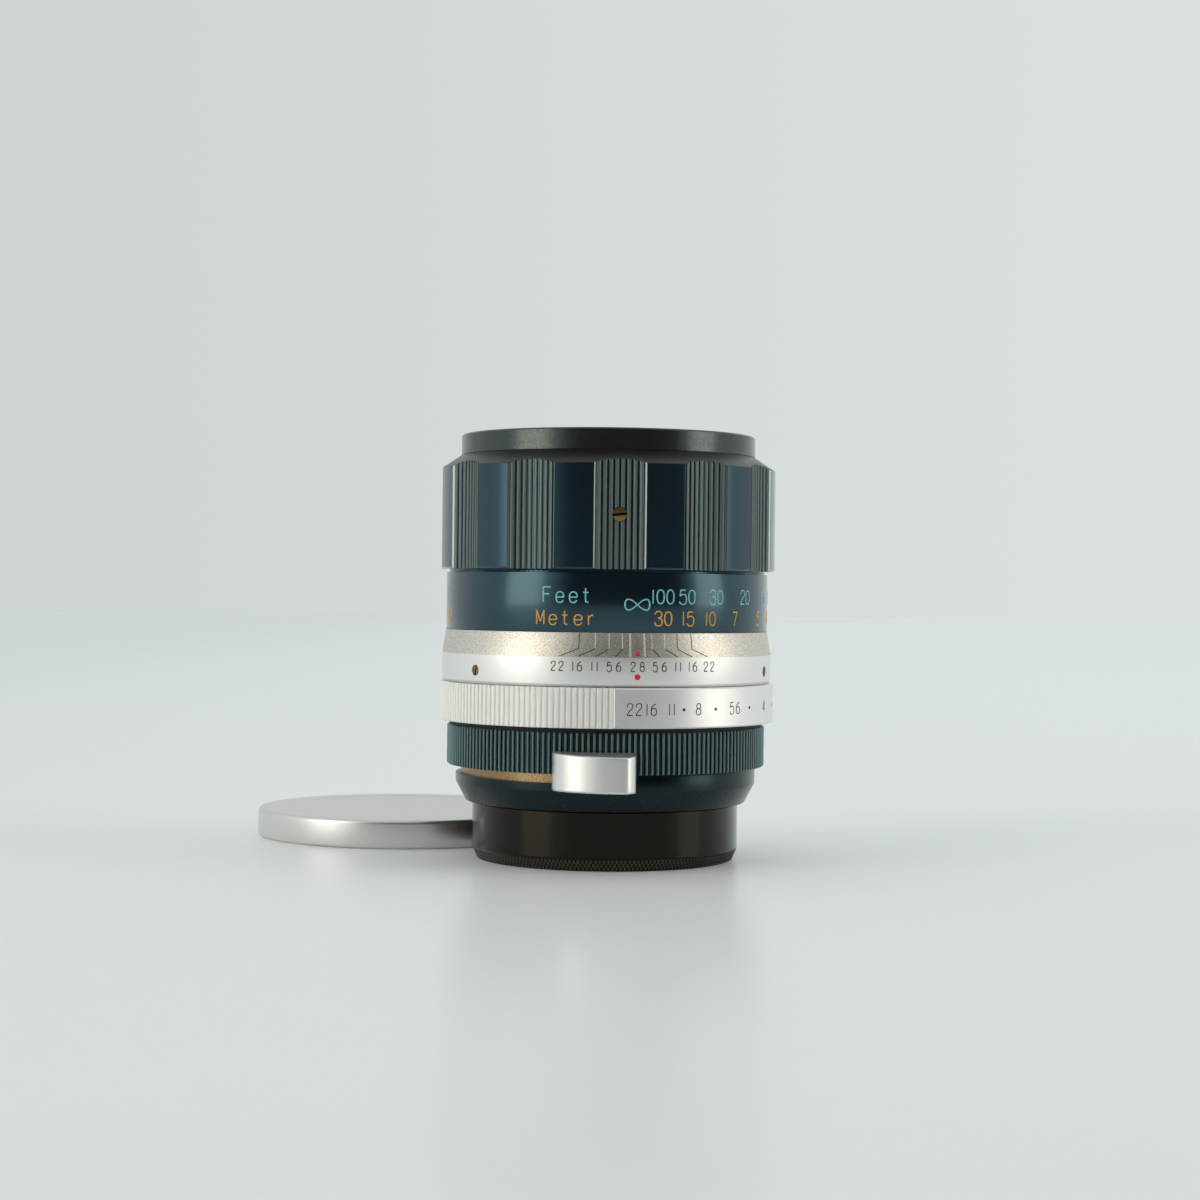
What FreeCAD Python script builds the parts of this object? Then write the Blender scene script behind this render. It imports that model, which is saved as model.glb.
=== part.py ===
"""Short-telephoto camera lens that stands on its rear cap, with its front cap beside it. Millimetres and degrees.

The optical axis is +Z, the origin is the middle of the rear cap's resting face, and the index mark faces -Y.
An azimuth is an angle about +Z from the index: positive is to the right for someone who faces the index.
The lens is drawn focused at infinity, with the aperture ring at f/22 and the iris closed to it.
"""
import FreeCAD, Part
import math
import os
import re

import Sketcher
from FreeCAD import Placement, Rotation, Vector

SIZES = {
    # fits
    "slip_fit": 0.05,             # radial clearance of what turns or slides
    "face_gap": 0.05,             # clearance between faces that turn on each other
    # rear cap
    "cap_wall": 2.45,
    "cap_height": 9.9,
    "cap_floor": 2.4,
    "cap_grip_height": 2.1,       # bevelled, knurled foot
    "cap_grip_inset": 0.9,
    # camera thread and its flange
    "thread_radius": 21.0,
    "thread_length": 4.6,
    "thread_wall": 2.0,
    "web_width": 3.5,             # of the web, from the throat to the thread tube
    "web_height": 0.9,            # web across the thread tube, below the flange plate
    "flange_rim": 2.0,            # how far the flange stands out past the thread
    "flange_height": 1.5,
    "flange_gap": 0.3,            # dark line between cap and base
    # mount base and neck
    "base_foot_rim": 1.7,         # the cone's foot past the flange
    "base_taper": 1.8,
    "base_cone_height": 3.4,
    "base_wall_height": 2.98,
    "base_wall": 0.9,
    "base_web_step": 0.2,
    "base_web_height": 1.6,
    "spigot_wall": 3.4,
    "neck_step": 0.5,             # the neck is this much narrower than the base
    "neck_wall": 2.1,
    "neck_height": 3.62,
    "spigot_height": 0.62,        # how far the base's inner tube reaches into the neck
    # lever
    "lever_ring_height": 1.55,
    "lever_floor_gap": 0.05,
    "slot_height": 1.53,
    "slot_left": -78.5,
    "slot_right": -7.5,
    "tongue_left": -28.0,
    "tongue_right": -8.0,
    "tongue_height": 1.3,
    "tongue_reach": 1.1,          # how far the tongue enters the tab
    "tab_foot": 14.0,
    "tab_height": 6.2,
    "tab_left_reach": 2.56,       # how far the tab's corners stand out from the base
    "tab_left": -27.9,
    "tab_right_reach": 8.12,
    "tab_right": -3.8,
    "tab_end_reach": 2.4,
    "tab_end": -0.1,
    "tab_front_radius": 31.0,
    "tab_gap": 0.18,
    "tab_rounding": 0.45,
    # lock ring
    "lock_wall": 2.02,
    "lock_height": 7.03,
    "lock_rib_count": 180,
    "lock_rib_depth": 0.34,
    # fixed tube
    "tube_wall": 1.35,
    "tube_foot_wall": 1.4,
    "tube_foot_height": 4.8,
    "tube_flange_width": 0.6,
    "tube_flange_height": 0.68,
    "baffle_height": 1.0,
    "baffle_lip": 0.3,            # how far the baffle stands in past the throat
    # aperture ring
    "aperture_wall": 2.55,
    "aperture_height": 6.76,
    "aperture_turn": 82.0,
    "grip_start": -7.6,           # ribs begin left of the index
    "grip_end": -262.0,
    "aperture_rib_count": 127,
    "aperture_rib_sink": 0.18,
    "aperture_rib_depth": 0.3,
    # fork from the aperture ring to the iris
    "fork_azimuth": 221.0,
    "fork_foot_rise": 1.96,
    "fork_foot_height": 2.6,
    "fork_half_width": 4.6,
    "arm_foot_rise": 4.2,         # the arm's foot above the fork's
    "focus_travel": 10.6,         # of the barrel, from infinity to the near stop
    "fork_inset": 1.15,           # how far the foot enters the aperture ring
    "arm_half_width": 1.95,
    "arm_side_gap": 0.15,
    "arm_gap": 0.35,              # between the arm and the barrel's foot
    "arm_thickness": 0.7,
    # index ring
    "index_wall": 2.1,
    "index_bevel": 0.5,
    "index_height": 4.95,
    "index_cone_height": 4.1,
    "scale_wall": 1.35,
    "index_screw_radius": 0.85,
    "index_screw_rise": 2.3,
    "index_screw_azimuth": 60.0,
    # click stop
    "ball_radius": 0.6,
    "ball_azimuth": 100.0,
    "click_bore_depth": 3.2,
    # distance sleeve, focusing ring, nut
    "scale_height": 9.95,
    "sleeve_neck_wall": 0.55,
    "sleeve_neck_height": 2.3,
    "retainer_lip": 0.3,
    "retainer_height": 0.9,
    "tube_top_drop": 0.3,         # the fixed tube ends this far below the scale's top
    "focus_gap": 0.54,
    "focus_wall": 1.75,
    "focus_height": 17.66,
    "focus_shoulder_height": 2.43,
    "focus_lip_height": 4.33,
    "focus_bevel": 0.3,
    "valley_azimuth": -6.3,
    "valley_count": 12,
    "valley_half_width": 8.0,
    "valley_floor_wall": 0.8,     # left under the ribs' crests in the middle of a valley
    "valley_rib_count": 8,
    "valley_rib_depth": 0.28,
    "focus_screw_radius": 1.2,
    "focus_screw_rise": 9.1,
    "screw_slot_width": 0.35,
    "screw_slot_depth": 0.45,
    # optical barrel
    "rim_wall": 1.85,
    "barrel_wall": 1.95,          # of what slides in the nut, below the rim
    "rim_height": 3.6,
    "rim_bevel": 0.25,
    "filter_radius": 24.15,
    "recess_depth": 5.53,         # rim's top to the front cell's top
    "thread_step": 0.5,           # from the filter thread in to the barrel's bore
    "barrel_ledge": 0.7,          # that the iris housing rests on
    "barrel_foot_drop": 10.6,     # below the iris seat
    "iris_rise": 3.3,             # iris seat above the index ring
    "key_half_width": 4.4,
    "key_side_gap": 0.15,
    "key_depth": 1.1,
    "key_rise": 3.7,
    "key_height": 5.0,
    # name ring and glasses
    "name_ring_height": 1.2,
    "name_ring_slope": 0.85,
    "name_ring_lip": 3.9,
    "cell_wall": 3.25,
    "front_glass_rise": 0.4,      # its vertex above the cell's top
    "front_glass_sag": 4.77,
    "front_glass_back_sag": 1.4,
    "front_glass_middle": 5.7,
    "second_glass_step": 2.2,     # how much smaller than the glass before it
    "second_glass_gap": 0.7,
    "second_glass_sag": 5.28,
    "second_glass_back_sag": 2.83,
    "second_glass_middle": 4.6,
    "spacer_width": 1.2,
    "third_glass_step": 3.4,
    "third_glass_height": 5.6,
    "third_glass_front_sag": 1.6,
    "third_glass_back_sag": 2.6,
    "third_seat_width": 1.4,
    # iris
    "iris_floor": 1.2,
    "iris_ledge_rise": 1.25,
    "iris_wall_height": 2.4,
    "iris_ledge_width": 0.5,
    "iris_throat_margin": 0.8,    # of the housing's throat round the open blades
    "cover_height": 1.0,
    "cover_lip": 0.1,
    "cover_boss_height": 0.8,
    "cam_width": 4.8,
    "cam_height": 1.0,
    "blade_width": 6.3,
    "pivot_margin": 1.5,          # from the pivots in to the blades' outer edge
    "blade_thickness": 0.12,
    "blade_pitch": 0.2,
    "blade_heel": -16.0,
    "blade_tip": 84.0,
    "pivot_inset": 2.5,           # from the housing's wall in to the pivots
    "pin_radius": 0.35,
    "pin_clearance": 0.09,
    "drive_arm": 3.6,
    "stop_radius": 1.5,           # opening at f/22
    # rear cell
    "rear_cell_wall": 2.5,
    "rear_cell_flange_gap": 1.1,  # to the iris arm
    "rear_cell_flange_height": 1.2,
    "rear_cell_skirt": 2.4,       # of the cell below its glass
    "rear_glass_lip": 1.4,
    "rear_glass_seat": 2.6,
    "rear_glass_front_sag": 1.66,
    "cement_sag": 4.5,
    "cement_depth": 2.4,
    "rear_glass_edge": 0.7,
    "rear_glass_back_sag": 2.53,
    "rear_retainer_height": 1.5,
    # sprung pin at the rear
    "plunger_radius": 1.0,
    "plunger_reach": 5.0,         # below the flange
    "plunger_length": 11.6,
    "collar_radius": 1.6,
    "collar_height": 0.7,
    "spring_radius": 1.5,
    "spring_wire": 0.2,
    "spring_pitch": 2.1,
    # screws in the mount
    "mount_screw_head": 1.3,
    "mount_screw_head_height": 0.7,
    "mount_screw_shank": 0.8,
    "mount_screw_length": 3.2,
    # front cap
    "lid_gap": 1.1,               # felt between the front rim and the cap's wall
    "lid_height": 5.3,
    "lid_top": 0.7,
    "lid_wall": 0.94,
    "lid_rounding": 0.8,
    "lid_foot_bevel": 0.25,
    "lid_panel_radius": 22.6,
    "lid_panel_sink": 0.12,
    "lid_spacing": 0.88,          # between the two caps' sides
    "lid_azimuth": -143.0645,     # where the front cap lies, seen from the lens
    "felt_height": 3.2,
    "felt_rise": 0.5,
}


def curve(radius, sag):
    """The radius of a sphere whose cap is this wide and this deep."""
    return f"({radius} ^ 2 + {sag} ^ 2) / (2 * {sag})"


FITS = {
    # from the camera thread out and up
    "cap_radius": "thread_radius + slip_fit + cap_wall",
    "throat_radius": "thread_radius - thread_wall - web_width",
    "web_circle": "throat_radius + web_width / 2",
    "flange_radius": "thread_radius + flange_rim",
    "base_foot_radius": "flange_radius + base_foot_rim",
    "base_radius": "base_foot_radius + base_taper",
    "base_web_radius": "throat_radius + base_web_step",
    "neck_radius": "base_radius - neck_step",
    "neck_bore_radius": "neck_radius - neck_wall",
    "base_bore_radius": "neck_bore_radius - spigot_wall",
    "lock_radius": "neck_radius + slip_fit + lock_wall",
    "tab_left_radius": "base_radius + tab_left_reach",
    "tab_right_radius": "base_radius + tab_right_reach",
    "tab_end_radius": "base_radius + tab_end_reach",
    "baffle_bore_radius": "throat_radius - baffle_lip",
    # from the filter thread in to the barrel, and out to the rings
    "rim_radius": "filter_radius + rim_wall",
    "barrel_bore_radius": "filter_radius - thread_step",
    "barrel_radius": "barrel_bore_radius + barrel_wall",
    "barrel_foot_bore_radius": "barrel_bore_radius - barrel_ledge",
    "tube_bore_radius": "barrel_radius + slip_fit",
    "tube_radius": "tube_bore_radius + tube_wall",
    "tube_foot_bore_radius": "min(neck_radius; tube_bore_radius) - tube_foot_wall",
    "tube_flange_radius": "max(neck_radius; tube_radius) + tube_flange_width",
    "aperture_radius": "tube_radius + slip_fit + aperture_wall",
    "index_radius": "tube_radius + index_wall",
    "ball_circle": "(tube_radius + index_radius) / 2",
    "scale_radius": "tube_radius + slip_fit + scale_wall",
    "retainer_radius": "tube_radius + retainer_lip",
    "sleeve_neck_radius": "retainer_radius + slip_fit + sleeve_neck_wall",
    "focus_radius": "sleeve_neck_radius + focus_wall",
    "valley_depth": "focus_wall - valley_floor_wall",
    "lid_radius": "rim_radius + lid_gap + lid_wall",
    # inside the barrel
    "arm_radius": "barrel_foot_bore_radius - arm_gap",
    "iris_inner_radius": "arm_radius - iris_ledge_width",
    "pivot_circle": "iris_inner_radius - pivot_inset",
    "blade_outer_radius": "pivot_circle - pivot_margin",
    "blade_inner_radius": "blade_outer_radius - blade_width",
    "cam_inner_radius": "arm_radius - cam_width",
    "iris_throat_radius": "blade_inner_radius + iris_throat_margin",
    "cover_throat_radius": "blade_inner_radius - cover_lip",
    "front_glass_radius": "barrel_bore_radius - cell_wall",
    "front_glass_curve": curve("front_glass_radius", "front_glass_sag"),
    "front_glass_back_curve": curve("front_glass_radius", "front_glass_back_sag"),
    "second_glass_radius": "front_glass_radius - second_glass_step",
    "second_glass_curve": curve("second_glass_radius", "second_glass_sag"),
    "second_glass_back_curve": curve("second_glass_radius", "second_glass_back_sag"),
    "third_glass_radius": "second_glass_radius - third_glass_step",
    "third_seat_radius": "third_glass_radius - third_seat_width",
    "third_glass_front_curve": curve("third_seat_radius", "third_glass_front_sag"),
    "third_glass_back_curve": curve("third_seat_radius", "third_glass_back_sag"),
    "rear_glass_radius": "iris_throat_radius + rear_glass_lip",
    "rear_glass_front_curve": curve("rear_glass_radius", "rear_glass_front_sag"),
    "rear_glass_back_curve": curve("rear_glass_radius", "rear_glass_back_sag"),
    "cement_curve": curve("rear_glass_radius", "cement_sag"),
    "rear_glass_height": "cement_depth + cement_sag + rear_glass_edge",
    "rear_cell_radius": "rear_glass_radius + rear_cell_wall",
    "rear_cell_flange_radius": "arm_radius - arm_thickness - rear_cell_flange_gap",
    "rear_cell_height": "rear_glass_seat + rear_glass_height + rear_cell_skirt",
    "fork_reach": "arm_foot_rise + focus_travel + arm_gap",
}

# levels along the axis, stacked from the resting face to the rim
BASE_FOOT = "(cap_height + flange_gap)"
FLANGE_TOP = "(cap_height + flange_height)"
WEB_TOP = f"({FLANGE_TOP} + base_web_height)"
BASE_EDGE = f"({BASE_FOOT} + base_cone_height)"
BASE_TOP = f"({BASE_EDGE} + base_wall_height)"
SLOT_FOOT = f"({BASE_TOP} - slot_height)"
NECK_TOP = f"({BASE_TOP} + neck_height)"
LOCK_FOOT = f"({BASE_TOP} + face_gap)"
LOCK_TOP = f"({LOCK_FOOT} + lock_height)"
TUBE_FLANGE = f"({LOCK_TOP} + face_gap)"
TUBE_FLANGE_TOP = f"({TUBE_FLANGE} + tube_flange_height)"
APERTURE_FOOT = f"({TUBE_FLANGE_TOP} + face_gap)"
APERTURE_TOP = f"({APERTURE_FOOT} + aperture_height)"
INDEX_FOOT = f"({APERTURE_TOP} + face_gap)"
INDEX_EDGE = f"({INDEX_FOOT} + index_height)"
INDEX_TOP = f"({INDEX_EDGE} + index_cone_height)"
SCALE_FOOT = f"({INDEX_TOP} + face_gap)"
SCALE_TOP = f"({SCALE_FOOT} + scale_height)"
TUBE_TOP = f"({SCALE_TOP} - tube_top_drop)"
SLEEVE_TOP = f"({SCALE_TOP} + sleeve_neck_height)"
FOCUS_FOOT = f"({SCALE_TOP} + focus_gap)"
FOCUS_EDGE = f"({FOCUS_FOOT} + focus_height)"
FOCUS_TOP = f"({FOCUS_EDGE} + focus_shoulder_height)"
FOCUS_LIP = f"({FOCUS_TOP} - focus_lip_height)"
RIM_TOP = f"({FOCUS_TOP} + rim_height)"
CELL_TOP = f"({RIM_TOP} - recess_depth)"
THREAD_FOOT = f"({CELL_TOP} + name_ring_height)"
IRIS_SEAT = f"({INDEX_TOP} + iris_rise)"
IRIS_FLOOR = f"({IRIS_SEAT} + iris_floor)"
IRIS_LEDGE = f"({IRIS_FLOOR} + iris_ledge_rise)"
COVER_FOOT = f"({IRIS_FLOOR} + iris_wall_height)"
COVER_TOP = f"({COVER_FOOT} + cover_height)"
BARREL_FOOT = f"({IRIS_SEAT} - barrel_foot_drop)"
KEY_FOOT = f"({SCALE_FOOT} + key_rise)"
KEY_TOP = f"({KEY_FOOT} + key_height)"
FORK_FOOT = f"({APERTURE_FOOT} + fork_foot_rise)"

doc = FreeCAD.newDocument("camera_lens")
sheet = doc.addObject("Spreadsheet::Sheet", "Sizes")
for row, name in enumerate(list(SIZES) + list(FITS), start=1):
    sheet.setAlias(f"A{row}", name)
    sheet.set(f"A{row}", str(SIZES[name]) if name in SIZES else f"={FITS[name]}")
doc.recompute()

nodes = []


def bound(formula):
    """Puts the sheet's name before each size that a formula names."""
    return re.sub(r"[a-z_]+", lambda word: f"Sizes.{word[0]}" if word[0] in SIZES or word[0] in FITS else word[0], formula)


def bind(thing, **formulas):
    """Binds properties to formulas; a double underscore stands for a dot."""
    for key, formula in formulas.items():
        thing.setExpression(key.replace("__", "."), bound(formula))


def node(thing, label):
    """Names a finished sub-part, which its file is named for."""
    thing.Label = label
    nodes.append(thing)
    return thing


def datum(body, role):
    """One of a body's own origin planes or axes."""
    return next(item for item in body.Origin.OriginFeatures if item.Role == role)


def sketch_on(body, role, name, azimuth=None):
    """A sketch on an origin plane; with an azimuth the plane is turned about the lens axis."""
    sketch = body.newObject("Sketcher::SketchObject", name)
    sketch.AttachmentSupport = [(datum(body, role), "")]
    sketch.MapMode = "FlatFace"
    if azimuth is not None:
        sketch.AttachmentOffset = Placement(Vector(), Rotation(Vector(0, 1, 0), 1))
        bind(sketch, AttachmentOffset__Rotation__Angle=azimuth)
    return sketch


def place_point(sketch, geometry, end, across, up):
    """Fixes a sketch point at two formulas, measured from the sketch's origin."""
    drawn = sketch.getPoint(geometry, end)
    for kind, formula, axis, value in (("DistanceX", across, -2, drawn.x), ("DistanceY", up, -1, drawn.y)):
        if formula == "0":
            sketch.addConstraint(Sketcher.Constraint("PointOnObject", geometry, end, axis))
        else:
            index = sketch.addConstraint(Sketcher.Constraint(kind, -1, 1, geometry, end, value))
            sketch.setExpression(f"Constraints[{index}]", bound(formula))


def draw_outline(sketch, points):
    """Draws a closed outline of straight sides through points given as pairs of formulas."""
    count = len(points)
    start = [Vector(30 + 20 * math.cos(math.tau * i / count), 30 + 20 * math.sin(math.tau * i / count), 0)
             for i in range(count)]
    for i in range(count):
        sketch.addGeometry(Part.LineSegment(start[i], start[(i + 1) % count]))
    for i, (across, up) in enumerate(points):
        sketch.addConstraint(Sketcher.Constraint("Coincident", i, 2, (i + 1) % count, 1))
        place_point(sketch, i, 1, across, up)


def turned(label, points):
    """A body turned about the lens axis from an outline of (radius, height) formulas."""
    body = doc.addObject("PartDesign::Body", label)
    sketch = sketch_on(body, "XZ_Plane", f"{label}_profile")
    draw_outline(sketch, points)
    turning = body.newObject("PartDesign::Revolution", f"{label}_turning")
    turning.Profile = sketch
    turning.ReferenceAxis = (sketch, ["V_Axis"])
    turning.Angle = 360
    body.Tip = turning
    return node(body, label)


def ring(label, inner, outer, foot, top):
    """A plain turned ring."""
    return turned(label, [(inner, foot), (outer, foot), (outer, top), (inner, top)])


def sector(body, kind, name, azimuth, sweep, inner, outer, foot, top):
    """Adds (Revolution) or cuts (Groove) a stretch of ring, centred on an azimuth."""
    sketch = sketch_on(body, "XZ_Plane", f"{name}_profile", f"{azimuth} - 90")
    draw_outline(sketch, [(inner, foot), (outer, foot), (outer, top), (inner, top)])
    feature = body.newObject(f"PartDesign::{kind}", name)
    feature.Profile = sketch
    feature.ReferenceAxis = (sketch, ["V_Axis"])
    feature.Midplane = True
    bind(feature, Angle=sweep)
    body.Tip = feature
    return feature


def repeat(body, feature, name, count, angle="360"):
    """Repeats a feature round the lens axis."""
    pattern = body.newObject("PartDesign::PolarPattern", name)
    pattern.Originals = [feature]
    pattern.Axis = (datum(body, "Z_Axis"), [""])
    bind(pattern, Occurrences=count, Angle=angle)
    body.Tip = pattern
    return pattern


def radial_hole(body, name, azimuth, height, radius, reach):
    """A round hole from the lens axis outwards."""
    sketch = sketch_on(body, "XZ_Plane", f"{name}_circle", azimuth)
    sketch.addGeometry(Part.Circle(Vector(0, 30, 0), Vector(0, 0, 1), 1))
    place_point(sketch, 0, 3, "0", height)
    index = sketch.addConstraint(Sketcher.Constraint("Radius", 0, 1.0))
    sketch.setExpression(f"Constraints[{index}]", bound(radius))
    pocket = body.newObject("PartDesign::Pocket", name)
    pocket.Profile = sketch
    pocket.Reversed = True
    bind(pocket, Length=reach)
    body.Tip = pocket
    return pocket


def axial_hole(body, name, azimuth, circle, radius, foot, depth):
    """A round hole parallel to the lens axis, from a level upwards."""
    sketch = body.newObject("Sketcher::SketchObject", f"{name}_circle")
    sketch.AttachmentSupport = [(datum(body, "XY_Plane"), "")]
    sketch.MapMode = "FlatFace"
    bind(sketch, AttachmentOffset__Base__z=foot)
    sketch.addGeometry(Part.Circle(Vector(10, 10, 0), Vector(0, 0, 1), 1))
    place_point(sketch, 0, 3, f"{circle} * sin({azimuth})", f"-{circle} * cos({azimuth})")
    index = sketch.addConstraint(Sketcher.Constraint("Radius", 0, 1.0))
    sketch.setExpression(f"Constraints[{index}]", bound(radius))
    pocket = body.newObject("PartDesign::Pocket", name)
    pocket.Profile = sketch
    pocket.Reversed = True
    bind(pocket, Length=depth)
    body.Tip = pocket
    return pocket


def cylinder(name, radius, height, foot="0"):
    """A cylinder on the lens axis."""
    piece = doc.addObject("Part::Cylinder", name)
    bind(piece, Radius=radius, Height=height, Placement__Base__z=foot)
    return piece


def stand_at(piece, azimuth, circle, height):
    """Stands a piece upright on a circle round the lens axis."""
    bind(piece, Placement__Base__x=f"({circle}) * sin({azimuth})", Placement__Base__y=f"-({circle}) * cos({azimuth})",
         Placement__Base__z=height)


def glass(label, radius, foot, top, domes=(), hollows=()):
    """A glass ground from a cylinder; each dome or hollow is the (curve, centre height) of a sphere."""
    shape = cylinder(f"{label}_blank", radius, f"{top} - {foot}", foot)
    for kind, spheres in (("Part::Common", domes), ("Part::Cut", hollows)):
        for number, (curve, centre) in enumerate(spheres):
            ball = doc.addObject("Part::Sphere", f"{label}_sphere")
            bind(ball, Radius=curve, Placement__Base__z=centre)
            ground = doc.addObject(kind, f"{label}_{kind[6:]}{number}")
            ground.Base, ground.Tool = shape, ball
            shape = ground
    return node(shape, label)


def slotted_screw(name, head_radius, head_height, shank_radius, length):
    """A slotted screw along +Z with its head's face at the origin and its shank below."""
    head = doc.addObject("Part::Cylinder", f"{name}_head")
    bind(head, Radius=head_radius, Height=head_height, Placement__Base__z=f"-({head_height})")
    shank = doc.addObject("Part::Cylinder", f"{name}_shank")
    bind(shank, Radius=shank_radius, Height=length, Placement__Base__z=f"-({length})")
    body = doc.addObject("Part::Fuse", f"{name}_body")
    body.Base, body.Tool = head, shank
    slot = doc.addObject("Part::Box", f"{name}_slot")
    bind(slot, Length=f"4 * ({head_radius})", Width="screw_slot_width", Height="2 * screw_slot_depth",
         Placement__Base__x=f"-2 * ({head_radius})", Placement__Base__y="-screw_slot_width / 2",
         Placement__Base__z="-screw_slot_depth")
    screw = doc.addObject("Part::Cut", name)
    screw.Base, screw.Tool = body, slot
    return screw


def screw_group(label, screws):
    """Identical screws as one sub-part."""
    group = doc.addObject("Part::Compound", label)
    group.Links = screws
    return node(group, label)


def radial_screws(label, azimuths, face_radius, height, turns, **sizes):
    """Slotted screws whose heads face outwards; each slot is turned by its own angle."""
    screws = []
    for number, (azimuth, turn) in enumerate(zip(azimuths, turns)):
        screw = slotted_screw(f"{label}_{number}", **sizes)
        outward = Rotation(Vector(math.cos(math.radians(azimuth)), math.sin(math.radians(azimuth)), 0), 90)
        screw.Placement = Placement(Vector(), outward * Rotation(Vector(0, 0, 1), turn))
        stand_at(screw, f"{azimuth}", face_radius, height)
        screws.append(screw)
    return screw_group(label, screws)


def size(name):
    """A size from the sheet, for the shapes that are worked out below."""
    return float(sheet.get(name))


def coil(label, circle_azimuth, circle, radius, wire, pitch, foot, height):
    """A coil spring that stands on a circle round the lens axis."""
    spine = doc.addObject("Part::Helix", f"{label}_line")
    bind(spine, Radius=radius, Pitch=pitch, Height=height)
    section = doc.addObject("Part::RegularPolygon", f"{label}_section")
    section.Polygon = 5
    section.Placement = Placement(Vector(), Rotation(Vector(1, 0, 0), 90))
    bind(section, Circumradius=wire, Placement__Base__x=radius)
    spring = doc.addObject("Part::Sweep", label)
    spring.Sections, spring.Spine = [section], (spine, [])
    spring.Solid, spring.Frenet = True, True
    stand_at(spring, circle_azimuth, circle, foot)
    return node(spring, label)


# ---------------------------------------------------------------- rear cap
turned("rear_cap", [
    ("0", "0"), ("cap_radius - cap_grip_inset", "0"), ("cap_radius", "cap_grip_height"),
    ("cap_radius", "cap_height"), ("thread_radius + slip_fit", "cap_height"),
    ("thread_radius + slip_fit", "cap_floor"), ("0", "cap_floor")])

# ---------------------------------------------------------------- camera thread and flange
WEB_FOOT = "(cap_height - web_height)"
camera_thread = turned("camera_thread", [
    ("throat_radius", WEB_FOOT), ("thread_radius - thread_wall", WEB_FOOT),
    ("thread_radius - thread_wall", "cap_height - thread_length"), ("thread_radius", "cap_height - thread_length"),
    ("thread_radius", "cap_height"), ("flange_radius", "cap_height"), ("flange_radius", FLANGE_TOP),
    ("throat_radius", FLANGE_TOP)])
WEB_DEPTH = f"{FLANGE_TOP} - {WEB_FOOT}"
axial_hole(camera_thread, "plunger_hole", "180", "web_circle", "plunger_radius + slip_fit", WEB_FOOT, WEB_DEPTH)
shank_hole = axial_hole(camera_thread, "shank_hole", "0", "web_circle", "mount_screw_shank", WEB_FOOT, WEB_DEPTH)
repeat(camera_thread, shank_hole, "shank_holes", "3")
head_hole = axial_hole(camera_thread, "head_hole", "0", "web_circle", "mount_screw_head", WEB_FOOT,
                       "mount_screw_head_height")
repeat(camera_thread, head_hole, "head_holes", "3")

# ---------------------------------------------------------------- mount base, lever and neck
SPIGOT_TOP = f"({BASE_TOP} + spigot_height)"
CAVITY_FLOOR = f"({BASE_TOP} - lever_ring_height - face_gap - lever_floor_gap)"
mount_base = turned("mount_base", [
    ("flange_radius", BASE_FOOT), ("base_foot_radius", BASE_FOOT), ("base_radius", BASE_EDGE),
    ("base_radius", BASE_TOP), ("base_radius - base_wall", BASE_TOP), ("base_radius - base_wall", CAVITY_FLOOR),
    ("neck_bore_radius", CAVITY_FLOOR), ("neck_bore_radius", SPIGOT_TOP), ("base_bore_radius", SPIGOT_TOP),
    ("base_bore_radius", WEB_TOP), ("base_web_radius", WEB_TOP), ("base_web_radius", FLANGE_TOP),
    ("flange_radius", FLANGE_TOP)])
sector(mount_base, "Groove", "lever_slot", "(slot_left + slot_right) / 2", "slot_right - slot_left",
       "base_radius - base_wall", "base_radius + 1", SLOT_FOOT, f"{BASE_TOP} + 1")
axial_hole(mount_base, "base_plunger_hole", "180", "web_circle", "plunger_radius + slip_fit", FLANGE_TOP,
           "base_web_height")
base_screw_hole = axial_hole(mount_base, "base_screw_hole", "0", "web_circle", "mount_screw_shank", FLANGE_TOP,
                             "base_web_height")
repeat(mount_base, base_screw_hole, "base_screw_holes", "3")

ring("mount_neck", "neck_bore_radius", "neck_radius", BASE_TOP, NECK_TOP)
ring("rear_baffle", "baffle_bore_radius", "tube_foot_bore_radius", NECK_TOP, f"{NECK_TOP} + baffle_height")

RING_FOOT = f"({CAVITY_FLOOR} + lever_floor_gap)"
TONGUE_FOOT = f"({SLOT_FOOT} + (slot_height - face_gap - tongue_height) / 2)"
TONGUE_RADIUS = "(base_radius + tab_gap + tongue_reach)"
TONGUE = ("(tongue_left + tongue_right) / 2", "tongue_right - tongue_left")
lever_ring = ring("lever_ring", "neck_bore_radius + slip_fit", "base_radius - base_wall - slip_fit", RING_FOOT,
                  f"{RING_FOOT} + lever_ring_height")
sector(lever_ring, "Revolution", "tongue", *TONGUE, "neck_bore_radius + base_wall", TONGUE_RADIUS, TONGUE_FOOT,
       f"{TONGUE_FOOT} + tongue_height")

tab = doc.addObject("PartDesign::Body", "lever_tab")
tab_plan = sketch_on(tab, "XY_Plane", "tab_plan")
bind(tab_plan, AttachmentOffset__Base__z="tab_foot")
tab_corners = [("base_radius - 1", "tab_left"), ("tab_left_radius", "tab_left"), ("tab_right_radius", "tab_right"),
               ("tab_end_radius", "tab_end"), ("base_radius - 1", "tab_end")]
draft = [Vector(0, -size("base_radius") + 1, 0), Vector(0, -size("tab_left_radius"), 0),
         Vector(0, -size("tab_right_radius"), 0), Vector(0, -size("tab_end_radius"), 0), Vector(0, -size("base_radius") + 1, 0)]
draft = [Rotation(Vector(0, 0, 1), size(corner)).multVec(point)
         for point, corner in zip(draft, ("tab_left", "tab_left", "tab_right", "tab_end", "tab_end"))]
chord_line = draft[2] - draft[1]
to_centre = Vector(-chord_line.y, chord_line.x, 0).normalize()
front_depth = math.sqrt(size("tab_front_radius") ** 2 - (chord_line.Length / 2) ** 2)
front_centre = (draft[1] + draft[2]) / 2 + to_centre * front_depth
front_circle = Part.Circle(front_centre, Vector(0, 0, 1), size("tab_front_radius"))
LEFT_SIDE, FRONT, END_FACE, END_RETURN, BACK = range(5)
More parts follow.
